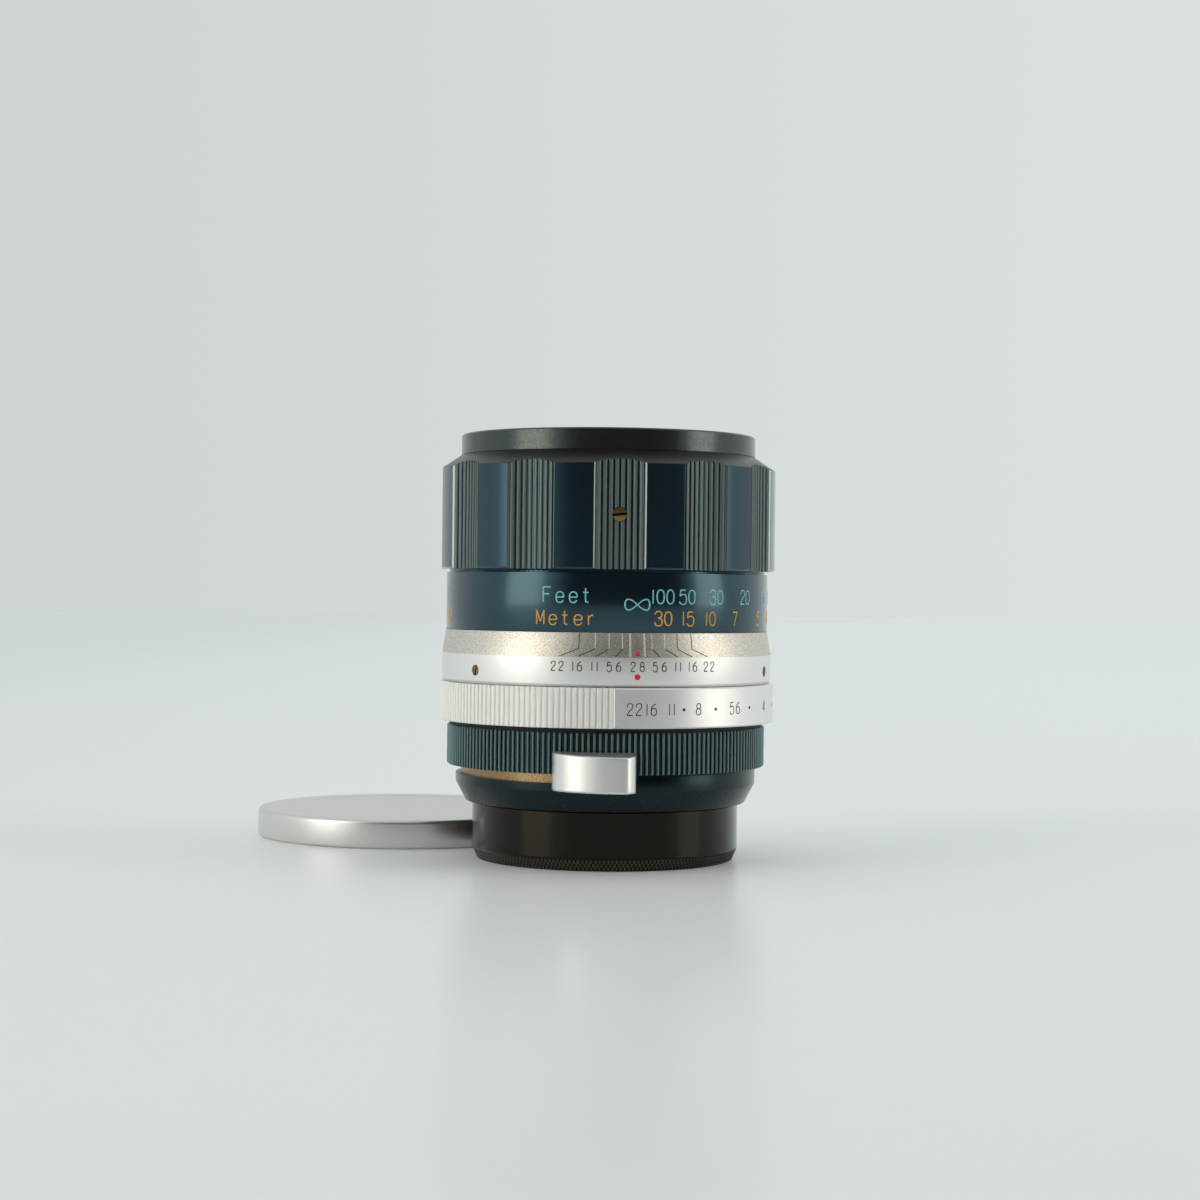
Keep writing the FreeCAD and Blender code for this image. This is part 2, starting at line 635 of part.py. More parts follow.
tab_plan.addGeometry(Part.LineSegment(draft[0], draft[1]))
front_angles = [math.atan2(point.y - front_centre.y, point.x - front_centre.x) for point in draft[1:3]]
tab_plan.addGeometry(Part.ArcOfCircle(front_circle, *front_angles))
for first, last in ((2, 3), (3, 4), (4, 0)):
    tab_plan.addGeometry(Part.LineSegment(draft[first], draft[last]))
for side, (radius, azimuth) in zip((LEFT_SIDE, FRONT, END_FACE, END_RETURN, BACK), tab_corners):
    place_point(tab_plan, side, 1, f"({radius}) * sin({azimuth})", f"-({radius}) * cos({azimuth})")
    tab_plan.addConstraint(Sketcher.Constraint("Coincident", side, 2, (side + 1) % 5, 1))
arc_radius = tab_plan.addConstraint(Sketcher.Constraint("Radius", FRONT, size("tab_front_radius")))
tab_plan.setExpression(f"Constraints[{arc_radius}]", bound("tab_front_radius"))
tab_block = tab.newObject("PartDesign::Pad", "tab_block")
tab_block.Profile = tab_plan
bind(tab_block, Length="tab_height")
tab.Tip = tab_block
doc.recompute()


def is_front_corner(edge):
    """The three front edges of the tab: along its top, along its foot and down its right end."""
    middle = edge.valueAt((edge.FirstParameter + edge.LastParameter) / 2)
    reach = math.hypot(middle.x, middle.y)
    ends_apart = edge.Vertexes[0].Point.distanceToPoint(edge.Vertexes[-1].Point)
    upright = abs(edge.Vertexes[0].Z - edge.Vertexes[-1].Z) > 1
    return reach > size("tab_end_radius") + 1 and (upright or ends_apart > size("tab_height") + 2)


tab_rounding = tab.newObject("PartDesign::Fillet", "tab_rounding")
tab_rounding.Base = (tab_block, [f"Edge{i}" for i, edge in enumerate(tab_block.Shape.Edges, 1) if is_front_corner(edge)])
bind(tab_rounding, Radius="tab_rounding")
tab.Tip = tab_rounding
sector(tab, "Groove", "base_clearance", "tab_left / 2", "150", "base_radius - 4", "base_radius + tab_gap", "tab_foot - 1",
       "tab_foot + tab_height + 1")
sector(tab, "Groove", "lock_clearance", "tab_left / 2", "150", "base_radius - 4", "lock_radius + tab_gap",
       f"{LOCK_FOOT} - face_gap", "tab_foot + tab_height + 1")
sector(tab, "Groove", "tongue_socket", *TONGUE, "base_radius - 1", TONGUE_RADIUS, TONGUE_FOOT,
       f"{TONGUE_FOOT} + tongue_height")
node(tab, "lever_tab")

# ---------------------------------------------------------------- lock ring
lock_ring = turned("lock_ring", [
    ("neck_radius + slip_fit", LOCK_FOOT), ("lock_radius", LOCK_FOOT), ("lock_radius", LOCK_TOP),
    ("neck_radius + slip_fit", LOCK_TOP)])


def rib_groove(body, name, azimuth, radius, depth, half_width, foot, height):
    """One straight V groove between two ribs, cut parallel to the lens axis."""
    sketch = body.newObject("Sketcher::SketchObject", f"{name}_plan")
    sketch.AttachmentSupport = [(datum(body, "XY_Plane"), "")]
    sketch.MapMode = "FlatFace"
    bind(sketch, AttachmentOffset__Base__z=foot)
    polar = [(f"({radius} + 0.5)", f"({azimuth} - {half_width})"), (f"({radius} + 0.5)", f"({azimuth} + {half_width})"),
             (f"({radius} - {depth})", azimuth)]
    draw_outline(sketch, [(f"{reach} * sin({angle})", f"-{reach} * cos({angle})") for reach, angle in polar])
    pocket = body.newObject("PartDesign::Pocket", name)
    pocket.Profile = sketch
    pocket.Reversed = True
    bind(pocket, Length=height)
    body.Tip = pocket
    return pocket


lock_groove = rib_groove(lock_ring, "lock_groove", "0", "lock_radius", "lock_rib_depth", "300 / lock_rib_count",
                         LOCK_FOOT, "lock_height")
repeat(lock_ring, lock_groove, "lock_ribs", "lock_rib_count")

# ---------------------------------------------------------------- fixed tube
TUBE_STEP = f"({NECK_TOP} + tube_foot_height)"
body_tube = turned("body_tube", [
    ("tube_foot_bore_radius", NECK_TOP), ("neck_radius", NECK_TOP), ("neck_radius", TUBE_FLANGE),
    ("tube_flange_radius", TUBE_FLANGE), ("tube_flange_radius", TUBE_FLANGE_TOP), ("tube_radius", TUBE_FLANGE_TOP),
    ("tube_radius", TUBE_TOP), ("tube_bore_radius", TUBE_TOP), ("tube_bore_radius", TUBE_STEP),
    ("tube_foot_bore_radius", TUBE_STEP)])
FORK_TOP = f"({FORK_FOOT} + fork_foot_height)"
FORK_MIDDLE = "(fork_azimuth - aperture_turn / 2)"
sector(body_tube, "Groove", "fork_window", FORK_MIDDLE, "aperture_turn + 2 * fork_half_width + 2",
       "tube_bore_radius - 1", "tube_radius + 1", f"{FORK_FOOT} - 4 * face_gap", f"{FORK_TOP} + 4 * face_gap")
sector(body_tube, "Groove", "key_window", "0", "2 * key_half_width", "tube_bore_radius - 1", "tube_radius + 1",
       KEY_FOOT, KEY_TOP)
focus_key = doc.addObject("PartDesign::Body", "focus_key")
sector(focus_key, "Revolution", "key_block", "0", "2 * key_half_width", "barrel_radius - key_depth", "tube_radius",
       KEY_FOOT, KEY_TOP)
node(focus_key, "focus_key")

# ---------------------------------------------------------------- aperture ring and fork
aperture_ring = turned("aperture_ring", [
    ("tube_radius + slip_fit", APERTURE_FOOT), ("aperture_radius", APERTURE_FOOT), ("aperture_radius", APERTURE_TOP),
    ("tube_radius + slip_fit", APERTURE_TOP)])
FORK_SWEEP = "2 * fork_half_width"
FORK_FOOT_RADIUS = "(tube_radius + slip_fit + fork_inset)"
sector(aperture_ring, "Groove", "fork_seat", "fork_azimuth", FORK_SWEEP, "tube_radius - 1", FORK_FOOT_RADIUS,
       FORK_FOOT, FORK_TOP)
sector(aperture_ring, "Groove", "grip_sink", "(grip_start + grip_end) / 2", "grip_start - grip_end",
       "aperture_radius - aperture_rib_sink", "aperture_radius + 1", APERTURE_FOOT, APERTURE_TOP)
grip_groove = rib_groove(aperture_ring, "grip_groove", "(grip_start - 1)", "(aperture_radius - aperture_rib_sink)",
                         "aperture_rib_depth", "1.5", APERTURE_FOOT, "aperture_height")
repeat(aperture_ring, grip_groove, "grip_ribs", "aperture_rib_count", "-(aperture_rib_count - 1) * 2")

aperture_fork = doc.addObject("PartDesign::Body", "aperture_fork")
ARM_INNER = "(arm_radius - arm_thickness)"
sector(aperture_fork, "Revolution", "fork_foot", "fork_azimuth", FORK_SWEEP, ARM_INNER, FORK_FOOT_RADIUS, FORK_FOOT,
       FORK_TOP)
sector(aperture_fork, "Revolution", "fork_prongs", "fork_azimuth", FORK_SWEEP, ARM_INNER, "arm_radius + 4 * face_gap",
       FORK_FOOT, f"{FORK_FOOT} + fork_reach")
sector(aperture_fork, "Groove", "fork_gap", "fork_azimuth", "2 * arm_half_width + 2 * arm_side_gap", f"{ARM_INNER} - 1",
       "arm_radius + 1", FORK_TOP, f"{FORK_FOOT} + fork_reach + 1")
node(aperture_fork, "aperture_fork")

# ---------------------------------------------------------------- index ring, its screws and the click stop
index_ring = turned("index_ring", [
    ("tube_radius", INDEX_FOOT), ("index_radius - index_bevel", INDEX_FOOT),
    ("index_radius", f"{INDEX_FOOT} + index_bevel"), ("index_radius", INDEX_EDGE), ("scale_radius", INDEX_TOP),
    ("tube_radius", INDEX_TOP)])
INDEX_SCREW_HEIGHT = f"{INDEX_FOOT} + index_screw_rise"
index_hole = radial_hole(index_ring, "index_hole", "index_screw_azimuth", INDEX_SCREW_HEIGHT, "index_screw_radius",
                         "index_radius + 1")
repeat(index_ring, index_hole, "index_holes", "3")
axial_hole(index_ring, "click_bore", "ball_azimuth", "ball_circle", "ball_radius", INDEX_FOOT, "click_bore_depth")
first_screw = SIZES["index_screw_azimuth"]
radial_screws("index_screws", [first_screw, first_screw + 120, first_screw + 240], "index_radius - 0.08",
              INDEX_SCREW_HEIGHT, [20, 65, 80], head_radius="index_screw_radius",
              head_height="index_radius - tube_radius - 0.08", shank_radius="index_screw_radius / 2",
              length="index_radius - tube_radius - 0.08")
click_ball = doc.addObject("Part::Sphere", "click_ball")
bind(click_ball, Radius="ball_radius")
stand_at(click_ball, "ball_azimuth", "ball_circle", f"{INDEX_FOOT} - face_gap / 2 + ball_radius")
node(click_ball, "click_ball")
CLICK_SPRING_FOOT = f"({INDEX_FOOT} + 2 * ball_radius)"
coil("click_spring", "ball_azimuth", "ball_circle", "ball_radius - 0.15", "0.1", "0.8", f"{CLICK_SPRING_FOOT} + 0.1",
     "click_bore_depth - 2 * ball_radius - 0.2")

# ---------------------------------------------------------------- focusing group
distance_sleeve = turned("distance_sleeve", [
    ("tube_radius + slip_fit", SCALE_FOOT), ("scale_radius", SCALE_FOOT), ("scale_radius", SCALE_TOP),
    ("sleeve_neck_radius", SCALE_TOP), ("sleeve_neck_radius", SLEEVE_TOP), ("retainer_radius + slip_fit", SLEEVE_TOP),
    ("retainer_radius + slip_fit", f"{TUBE_TOP} - face_gap"), ("tube_radius + slip_fit", f"{TUBE_TOP} - face_gap")])
ring("focus_retainer", "barrel_radius + 2 * slip_fit", "retainer_radius", TUBE_TOP, f"{TUBE_TOP} + retainer_height")
ring("focus_nut", "barrel_radius + slip_fit", "sleeve_neck_radius", SLEEVE_TOP, FOCUS_LIP)

focus_ring = turned("focus_ring", [
    ("sleeve_neck_radius", FOCUS_FOOT), ("focus_radius - focus_bevel", FOCUS_FOOT),
    ("focus_radius", f"{FOCUS_FOOT} + focus_bevel"), ("focus_radius", FOCUS_EDGE),
    ("rim_radius", FOCUS_TOP), ("barrel_radius + slip_fit", FOCUS_TOP), ("barrel_radius + slip_fit", FOCUS_LIP),
    ("sleeve_neck_radius", FOCUS_LIP)])
valley_plan = sketch_on(focus_ring, "XY_Plane", "valley_plan")
bind(valley_plan, AttachmentOffset__Base__z=FOCUS_FOOT)
RIB_FOOT, RIB_CREST = 0.72, 0.5   # half-widths of a rib, as shares of half its pitch
rib_count = int(SIZES["valley_rib_count"])
valley_points = [("focus_radius + 1", "-valley_half_width"), ("focus_radius - valley_rib_depth", "-valley_half_width")]
for rib in range(rib_count):
    middle = (2 * rib + 1) / rib_count - 1
    for across, sunk in ((-RIB_FOOT, 1), (-RIB_CREST, 0), (RIB_CREST, 0), (RIB_FOOT, 1)):
        share = middle + across / rib_count
        valley_points.append((f"focus_radius - valley_depth * {1 - share * share:.6f} - valley_rib_depth * {sunk}",
                              f"{share:.6f} * valley_half_width"))
valley_points += [("focus_radius - valley_rib_depth", "valley_half_width"), ("focus_radius + 1", "valley_half_width")]
draw_outline(valley_plan, [(f"({radius}) * sin(valley_azimuth + {angle})", f"-({radius}) * cos(valley_azimuth + {angle})")
                           for radius, angle in valley_points])
valley = focus_ring.newObject("PartDesign::Pocket", "valley")
valley.Profile = valley_plan
valley.Reversed = True
bind(valley, Length=f"{FOCUS_TOP} - {FOCUS_FOOT}")
focus_ring.Tip = valley
repeat(focus_ring, valley, "valleys", "valley_count")
FOCUS_SCREW_HEIGHT = f"{FOCUS_FOOT} + focus_screw_rise"
focus_hole = radial_hole(focus_ring, "focus_hole", "valley_azimuth", FOCUS_SCREW_HEIGHT, "focus_screw_radius",
                         "focus_radius + 1")
repeat(focus_ring, focus_hole, "focus_holes", "3")
first_screw = SIZES["valley_azimuth"]
SCREW_FACE = "focus_radius - valley_depth - valley_rib_depth / 2"
radial_screws("focus_screws", [first_screw, first_screw + 120, first_screw + 240], SCREW_FACE, FOCUS_SCREW_HEIGHT,
              [12, 50, 100], head_radius="focus_screw_radius", head_height=f"{SCREW_FACE} - sleeve_neck_radius",
              shank_radius="focus_screw_radius / 2", length=f"{SCREW_FACE} - sleeve_neck_radius")

# ---------------------------------------------------------------- optical barrel
front_barrel = turned("front_barrel", [
    ("barrel_foot_bore_radius", BARREL_FOOT), ("barrel_radius", BARREL_FOOT),
    ("barrel_radius", f"{FOCUS_TOP} + face_gap"), ("rim_radius", f"{FOCUS_TOP} + face_gap"),
    ("rim_radius", f"{RIM_TOP} - rim_bevel"), ("rim_radius - rim_bevel", RIM_TOP), ("filter_radius + rim_bevel", RIM_TOP),
    ("filter_radius", f"{RIM_TOP} - rim_bevel"), ("filter_radius", THREAD_FOOT), ("barrel_bore_radius", THREAD_FOOT),
    ("barrel_bore_radius", IRIS_SEAT), ("barrel_foot_bore_radius", IRIS_SEAT)])
sector(front_barrel, "Groove", "keyway", "0", "2 * key_half_width + 2 * key_side_gap",
       "barrel_radius - key_depth - 2 * slip_fit", "barrel_radius + 1", f"{BARREL_FOOT} - 1", f"{KEY_TOP} + 0.3")
turned("name_ring", [
    ("front_glass_radius - 0.6", f"{CELL_TOP} - name_ring_lip"), ("front_glass_radius", f"{CELL_TOP} - name_ring_lip"),
    ("front_glass_radius", CELL_TOP), ("barrel_bore_radius", CELL_TOP), ("barrel_bore_radius", THREAD_FOOT),
    ("barrel_bore_radius - 0.5", THREAD_FOOT), ("front_glass_radius - 0.6", f"{THREAD_FOOT} - name_ring_slope")])

# front glass: its vertex stands above the cell's top, its edge is behind the name ring's lip
FRONT_VERTEX = f"({CELL_TOP} + front_glass_rise)"
FRONT_BACK = f"({FRONT_VERTEX} - front_glass_middle)"
FRONT_SEAT = f"({FRONT_BACK} - front_glass_back_sag)"
glass("front_element", "front_glass_radius", FRONT_SEAT, FRONT_VERTEX,
      domes=[("front_glass_curve", f"{FRONT_VERTEX} - front_glass_curve")],
      hollows=[("front_glass_back_curve", f"{FRONT_BACK} - front_glass_back_curve")])
SECOND_VERTEX = f"({FRONT_BACK} - second_glass_gap)"
SECOND_BACK = f"({SECOND_VERTEX} - second_glass_middle)"
SECOND_SEAT = f"({SECOND_BACK} - second_glass_back_sag)"
glass("second_element", "second_glass_radius", SECOND_SEAT, SECOND_VERTEX,
      domes=[("second_glass_curve", f"{SECOND_VERTEX} - second_glass_curve")],
      hollows=[("second_glass_back_curve", f"{SECOND_BACK} - second_glass_back_curve")])
SPACER_BORE = "(second_glass_radius - spacer_width)"
SPACER_FOOT = f"({SECOND_VERTEX} - second_glass_curve + sqrt(second_glass_curve ^ 2 - {SPACER_BORE} ^ 2) + 0.02)"
ring("element_spacer", SPACER_BORE, "second_glass_radius", SPACER_FOOT, f"{FRONT_SEAT} + 0.2")
THIRD_FOOT = f"({COVER_TOP} + cover_boss_height)"
THIRD_TOP = f"({THIRD_FOOT} + third_glass_height)"
glass("third_element", "third_glass_radius", THIRD_FOOT, THIRD_TOP,
      hollows=[("third_glass_front_curve", f"{THIRD_TOP} - third_glass_front_sag + third_glass_front_curve"),
               ("third_glass_back_curve", f"{THIRD_FOOT} + third_glass_back_sag - third_glass_back_curve")])
turned("front_cell", [
    ("third_glass_radius", COVER_TOP), ("barrel_bore_radius", COVER_TOP), ("barrel_bore_radius", CELL_TOP),
    ("front_glass_radius", CELL_TOP), ("front_glass_radius", FRONT_SEAT), ("second_glass_radius", FRONT_SEAT),
    ("second_glass_radius", SECOND_SEAT), ("third_seat_radius", SECOND_SEAT), ("third_seat_radius", THIRD_TOP),
    ("third_glass_radius", THIRD_TOP)])

# ---------------------------------------------------------------- iris
CAM_RADIUS = "arm_radius"
iris_housing = turned("iris_housing", [
    ("iris_throat_radius", IRIS_SEAT), ("barrel_bore_radius", IRIS_SEAT), ("barrel_bore_radius", COVER_FOOT),
    (f"{CAM_RADIUS} + slip_fit", COVER_FOOT), (f"{CAM_RADIUS} + slip_fit", IRIS_LEDGE), ("iris_inner_radius", IRIS_LEDGE),
    ("iris_inner_radius", IRIS_FLOOR), ("iris_throat_radius", IRIS_FLOOR)])
sector(iris_housing, "Groove", "arm_window", FORK_MIDDLE, "aperture_turn + 2 * arm_half_width + 2",
       f"{ARM_INNER} - 2 * face_gap", "arm_radius + 2 * face_gap", f"{IRIS_SEAT} - 1", IRIS_LEDGE)
BLADES = 6
pivot_hole = axial_hole(iris_housing, "pivot_hole", "90", "pivot_circle", "pin_radius + slip_fit", IRIS_SEAT, "iris_floor")
repeat(iris_housing, pivot_hole, "pivot_holes", str(BLADES))
turned("iris_cover", [
    ("cover_throat_radius", COVER_FOOT), ("barrel_bore_radius", COVER_FOOT), ("barrel_bore_radius", COVER_TOP),
    ("third_glass_radius", COVER_TOP), ("third_glass_radius", THIRD_FOOT), ("third_seat_radius", THIRD_FOOT),
    ("third_seat_radius", COVER_TOP), ("cover_throat_radius", f"{COVER_TOP} - cover_height / 2")])

doc.recompute()


def level(reference):
    """The height of a named level, in millimetres."""
    probe = doc.addObject("Part::Box", "probe")
    bind(probe, Length=reference)
    doc.recompute()
    height = probe.Length.Value
    doc.removeObject(probe.Name)
    return height


def polar(radius, degrees):
    """A point in plan at an angle from +X."""
    return Vector(radius * math.cos(math.radians(degrees)), radius * math.sin(math.radians(degrees)), 0)


def arc_of(radius, first, last):
    """An arc about the lens axis."""
    return Part.Arc(polar(radius, first), polar(radius, (first + last) / 2), polar(radius, last)).toShape()


pivot = Vector(size("pivot_circle"), 0, 0)
chord = size("blade_inner_radius") - size("stop_radius")
closing = 2 * math.degrees(math.asin(chord / (2 * size("pivot_circle"))))
drive_open = pivot + Vector(math.sin(math.radians(closing / 2)), math.cos(math.radians(closing / 2)), 0) * size("drive_arm")
print("blade swing", round(closing, 4), "ratio", round(closing / size("aperture_turn"), 6))


def swung(point, degrees):
    """A point turned about the first blade's pivot."""
    return pivot + Rotation(Vector(0, 0, 1), degrees).multVec(point - pivot)


def blade_shape(floor, number):
    """A crescent blade at its own level, with a heel that carries a pivot pin below and a drive pin above."""
    foot = floor + size("blade_pitch") * (number + 0.4)
    inner, outer = size("blade_inner_radius"), size("blade_outer_radius")
    heel, tip = size("blade_heel"), size("blade_tip")
    middle = (inner + outer) / 2
    nose = Part.Arc(polar(outer, tip), polar(middle, tip + 9), polar(inner, tip)).toShape()
    back = Part.LineSegment(polar(inner, heel), polar(outer, heel)).toShape()
    band = Part.Face(Part.Wire(Part.__sortEdges__([arc_of(outer, heel, tip), nose, arc_of(inner, heel, tip), back])))
    ear_radius = size("pin_radius") + 0.3
    ear_points = [pivot + Vector(0, -ear_radius, 0), pivot + Vector(ear_radius, 0, 0), drive_open + Vector(ear_radius, 0, 0),
                  drive_open + Vector(0, ear_radius, 0), polar(outer - 0.5, 14), polar(outer - 0.5, -3)]
    ear = Part.Face(Part.makePolygon(ear_points + ear_points[:1]))
    thickness = Vector(0, 0, size("blade_thickness"))
    plate = band.fuse(ear).removeSplitter().extrude(thickness)
    plate.translate(Vector(0, 0, foot))
    pivot_pin = Part.makeCylinder(size("pin_radius"), foot - floor + size("iris_floor") * 0.7,
                                  Vector(pivot.x, pivot.y, floor - size("iris_floor") * 0.7))
    pin_top = level_of["ledge"] + size("face_gap") + size("cam_height") * 0.9
    drive_pin = Part.makeCylinder(size("pin_radius"), pin_top - foot, Vector(drive_open.x, drive_open.y, foot))
    return plate.fuse([pivot_pin, drive_pin]).removeSplitter()


level_of = {"floor": level(IRIS_FLOOR), "ledge": level(IRIS_LEDGE), "fork": level(FORK_FOOT)}
for number in range(BLADES):
    blade = doc.addObject("Part::Feature", f"iris_blade_{number + 1}")
    blade.Shape = blade_shape(level_of["floor"], number)
    close = Placement(Vector(), Rotation(Vector(0, 0, 1), closing), pivot)
    round_axis = Placement(Vector(), Rotation(Vector(0, 0, 1), 360 / BLADES * number))
    blade.Placement = round_axis * close
    node(blade, f"iris_blade_{number + 1}")


def scroll_slot(number):
    """The slot in the cam ring that a drive pin follows, while ring and blade turn in a fixed ratio."""
    half = size("pin_radius") + size("pin_clearance")
    samples = 9
    path = []
    for step in range(samples):
        turn = -size("aperture_turn") * step / (samples - 1)
        point = swung(drive_open, closing * (1 - step / (samples - 1)))
        path.append(Rotation(Vector(0, 0, 1), -turn).multVec(point))
    sides = ([], [])
    for step, point in enumerate(path):
        along = path[min(step + 1, samples - 1)] - path[max(step - 1, 0)]
        across = Vector(-along.y, along.x, 0).normalize() * half
        sides[0].append(point + across)
        sides[1].append(point - across)
    edges = []
    for side in sides:
        curve = Part.BSplineCurve()
        curve.interpolate(side)
        edges.append(curve.toShape())
    for end, inward in ((0, 1), (-1, -2)):
        outward = (path[end] - path[inward]).normalize() * half
        edges.append(Part.Arc(sides[0][end], path[end] + outward, sides[1][end]).toShape())
    slot = Part.Face(Part.Wire(Part.__sortEdges__(edges))).extrude(Vector(0, 0, size("cam_height") + 2))
    slot.translate(Vector(0, 0, level_of["ledge"] - 1))
    slot.rotate(Vector(), Vector(0, 0, 1), 360 / BLADES * number)
    return slot


cam_foot = level_of["ledge"] + size("face_gap")
cam = Part.makeCylinder(size("arm_radius"), size("cam_height"), Vector(0, 0, cam_foot))
cam = cam.cut(Part.makeCylinder(size("cam_inner_radius"), size("cam_height") + 2, Vector(0, 0, cam_foot - 1)))
cam = cam.cut([scroll_slot(number) for number in range(BLADES)])
arm_start, arm_end = (size("fork_azimuth") - 90 + side * size("arm_half_width") for side in (-1, 1))
arm_inner = size("arm_radius") - size("arm_thickness")
arm_sides = [Part.LineSegment(polar(arm_inner, angle), polar(size("arm_radius"), angle)).toShape()
             for angle in (arm_start, arm_end)]
arm_plan = Part.Face(Part.Wire(Part.__sortEdges__(
    [arc_of(size("arm_radius"), arm_start, arm_end), arc_of(arm_inner, arm_start, arm_end)] + arm_sides)))
arm_foot = level_of["fork"] + size("arm_foot_rise")
arm = arm_plan.extrude(Vector(0, 0, cam_foot + size("cam_height") / 2 - arm_foot))
arm.translate(Vector(0, 0, arm_foot))
iris_cam = doc.addObject("Part::Feature", "iris_cam_ring")
iris_cam.Shape = cam.fuse(arm).removeSplitter()
node(iris_cam, "iris_cam_ring")

# ---------------------------------------------------------------- rear cell and its doublet
CELL_FOOT = f"({IRIS_SEAT} - rear_cell_height)"
SEAT = f"({IRIS_SEAT} - rear_glass_seat)"
turned("rear_cell", [
    ("rear_glass_radius", CELL_FOOT), ("rear_cell_radius", CELL_FOOT),
    ("rear_cell_radius", f"{IRIS_SEAT} - rear_cell_flange_height"),
    ("rear_cell_flange_radius", f"{IRIS_SEAT} - rear_cell_flange_height"), ("rear_cell_flange_radius", IRIS_SEAT),
    ("iris_throat_radius", IRIS_SEAT), ("iris_throat_radius", SEAT), ("rear_glass_radius", SEAT)])
REAR_EDGE = f"({SEAT} - rear_glass_height)"
REAR_VERTEX = f"({REAR_EDGE} - rear_glass_back_sag)"
CEMENT = ("cement_curve", f"{SEAT} - cement_depth - cement_curve")
CEMENT_EDGE = f"({SEAT} - cement_depth - cement_sag)"
glass("rear_doublet_front", "rear_glass_radius", CEMENT_EDGE, SEAT,
      domes=[("rear_glass_front_curve", f"{SEAT} - rear_glass_front_curve")], hollows=[CEMENT])
glass("rear_doublet_back", "rear_glass_radius", REAR_VERTEX, f"{SEAT} - cement_depth",
      domes=[CEMENT, ("rear_glass_back_curve", f"{REAR_VERTEX} + rear_glass_back_curve")])
RETAINER_TOP = f"({REAR_VERTEX} + rear_glass_back_curve - sqrt(rear_glass_back_curve ^ 2 - iris_throat_radius ^ 2) - 0.02)"
ring("rear_retainer", "iris_throat_radius", "rear_glass_radius", f"{RETAINER_TOP} - rear_retainer_height", RETAINER_TOP)

# ---------------------------------------------------------------- sprung pin and mount screws
plunger_rod = cylinder("plunger_rod", "plunger_radius", "plunger_length")
plunger_collar = cylinder("plunger_collar", "collar_radius", "collar_height")
stand_at(plunger_rod, "180", "web_circle", "cap_height - plunger_reach")
stand_at(plunger_collar, "180", "web_circle", f"{WEB_TOP} + face_gap")
plunger = doc.addObject("Part::Fuse", "diaphragm_pin")
plunger.Base, plunger.Tool = plunger_rod, plunger_collar
node(plunger, "diaphragm_pin")
SPRING_FOOT = f"({WEB_TOP} + face_gap + collar_height + spring_wire)"
coil("pin_spring", "180", "web_circle", "spring_radius", "spring_wire", "spring_pitch", SPRING_FOOT,
     f"{NECK_TOP} - spring_wire - {SPRING_FOOT}")
mount_screws = []
for number in range(3):
    mount_screw = slotted_screw(f"mount_screw_{number}", "mount_screw_head", "mount_screw_head_height",
                                "mount_screw_shank", "mount_screw_length")
    mount_screw.Placement = Placement(Vector(), Rotation(Vector(1, 0, 0), 180))
    stand_at(mount_screw, str(120 * number), "web_circle", WEB_FOOT)
    mount_screws.append(mount_screw)
screw_group("mount_screws", mount_screws)

# ---------------------------------------------------------------- front cap, open side down, and its felt
front_cap = turned("front_cap", [
    ("lid_radius - lid_wall", "0"), ("lid_radius - lid_foot_bevel", "0"), ("lid_radius", "lid_foot_bevel"),
    ("lid_radius", "lid_height"),
    ("lid_panel_radius", "lid_height"), ("lid_panel_radius - 0.3", "lid_height - lid_panel_sink"),
    ("0", "lid_height - lid_panel_sink"), ("0", "lid_height - lid_top"), ("lid_radius - lid_wall", "lid_height - lid_top")])
doc.recompute()
lid_blank = front_cap.Tip
lid_edges = [f"Edge{i}" for i, edge in enumerate(lid_blank.Shape.Edges, 1)
             if abs(edge.BoundBox.ZMin - size("lid_height")) < 0.001 and edge.BoundBox.XMax > size("lid_radius") - 0.01
             and edge.BoundBox.ZLength < 0.001]
lid_rounding = front_cap.newObject("PartDesign::Fillet", "lid_rounding")
lid_rounding.Base = (lid_blank, lid_edges)
bind(lid_rounding, Radius="lid_rounding")
front_cap.Tip = lid_rounding
felt = ring("front_cap_felt", "rim_radius + slip_fit", "lid_radius - lid_wall", "felt_rise", "felt_rise + felt_height")
for piece in (front_cap, felt):
    stand_at(piece, "lid_azimuth", "cap_radius + lid_radius + lid_spacing", "0")

# ---------------------------------------------------------------- checks, then one file for each sub-part
doc.recompute()
for thing in doc.Objects:
    if "Invalid" in thing.State or "Error" in thing.State:
        raise RuntimeError(f"{thing.Name} did not build: {thing.State} {thing.getStatusString()}")
os.makedirs("parts", exist_ok=True)
triangles = 0
for thing in nodes:
    shape = thing.Shape
    if shape.isNull() or not shape.isValid() or not shape.Solids:
        raise RuntimeError(f"{thing.Label} is not a valid solid")
    triangles += len(shape.tessellate(0.1)[1])
    shape.exportStep(f"parts/{thing.Label}.step")
print(len(nodes), "sub-parts,", triangles, "triangles")
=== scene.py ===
# %% [markdown]
# # A short-telephoto camera lens on its rear cap
#
# The real object is an all-metal lens of the 1960s. Nearly every piece of it is turned on a lathe, ribbed or knurled,
# and anodised, and its scales are engraved and filled with paint. So this lesson is about turned rings, about ribs
# that are modelled once and copied round the axis, and about metal whose look comes from fine turning marks.
#
# The CAD frame is loaded first. It gives every body its place, and nothing in it is moved or reshaped. Heights and
# radii are in millimetres in this file, because a lens maker thinks in them, and MM turns them into Blender's metres.

# %% Load the frame and keep its box
import math

import bpy
from mathutils import Matrix, Vector


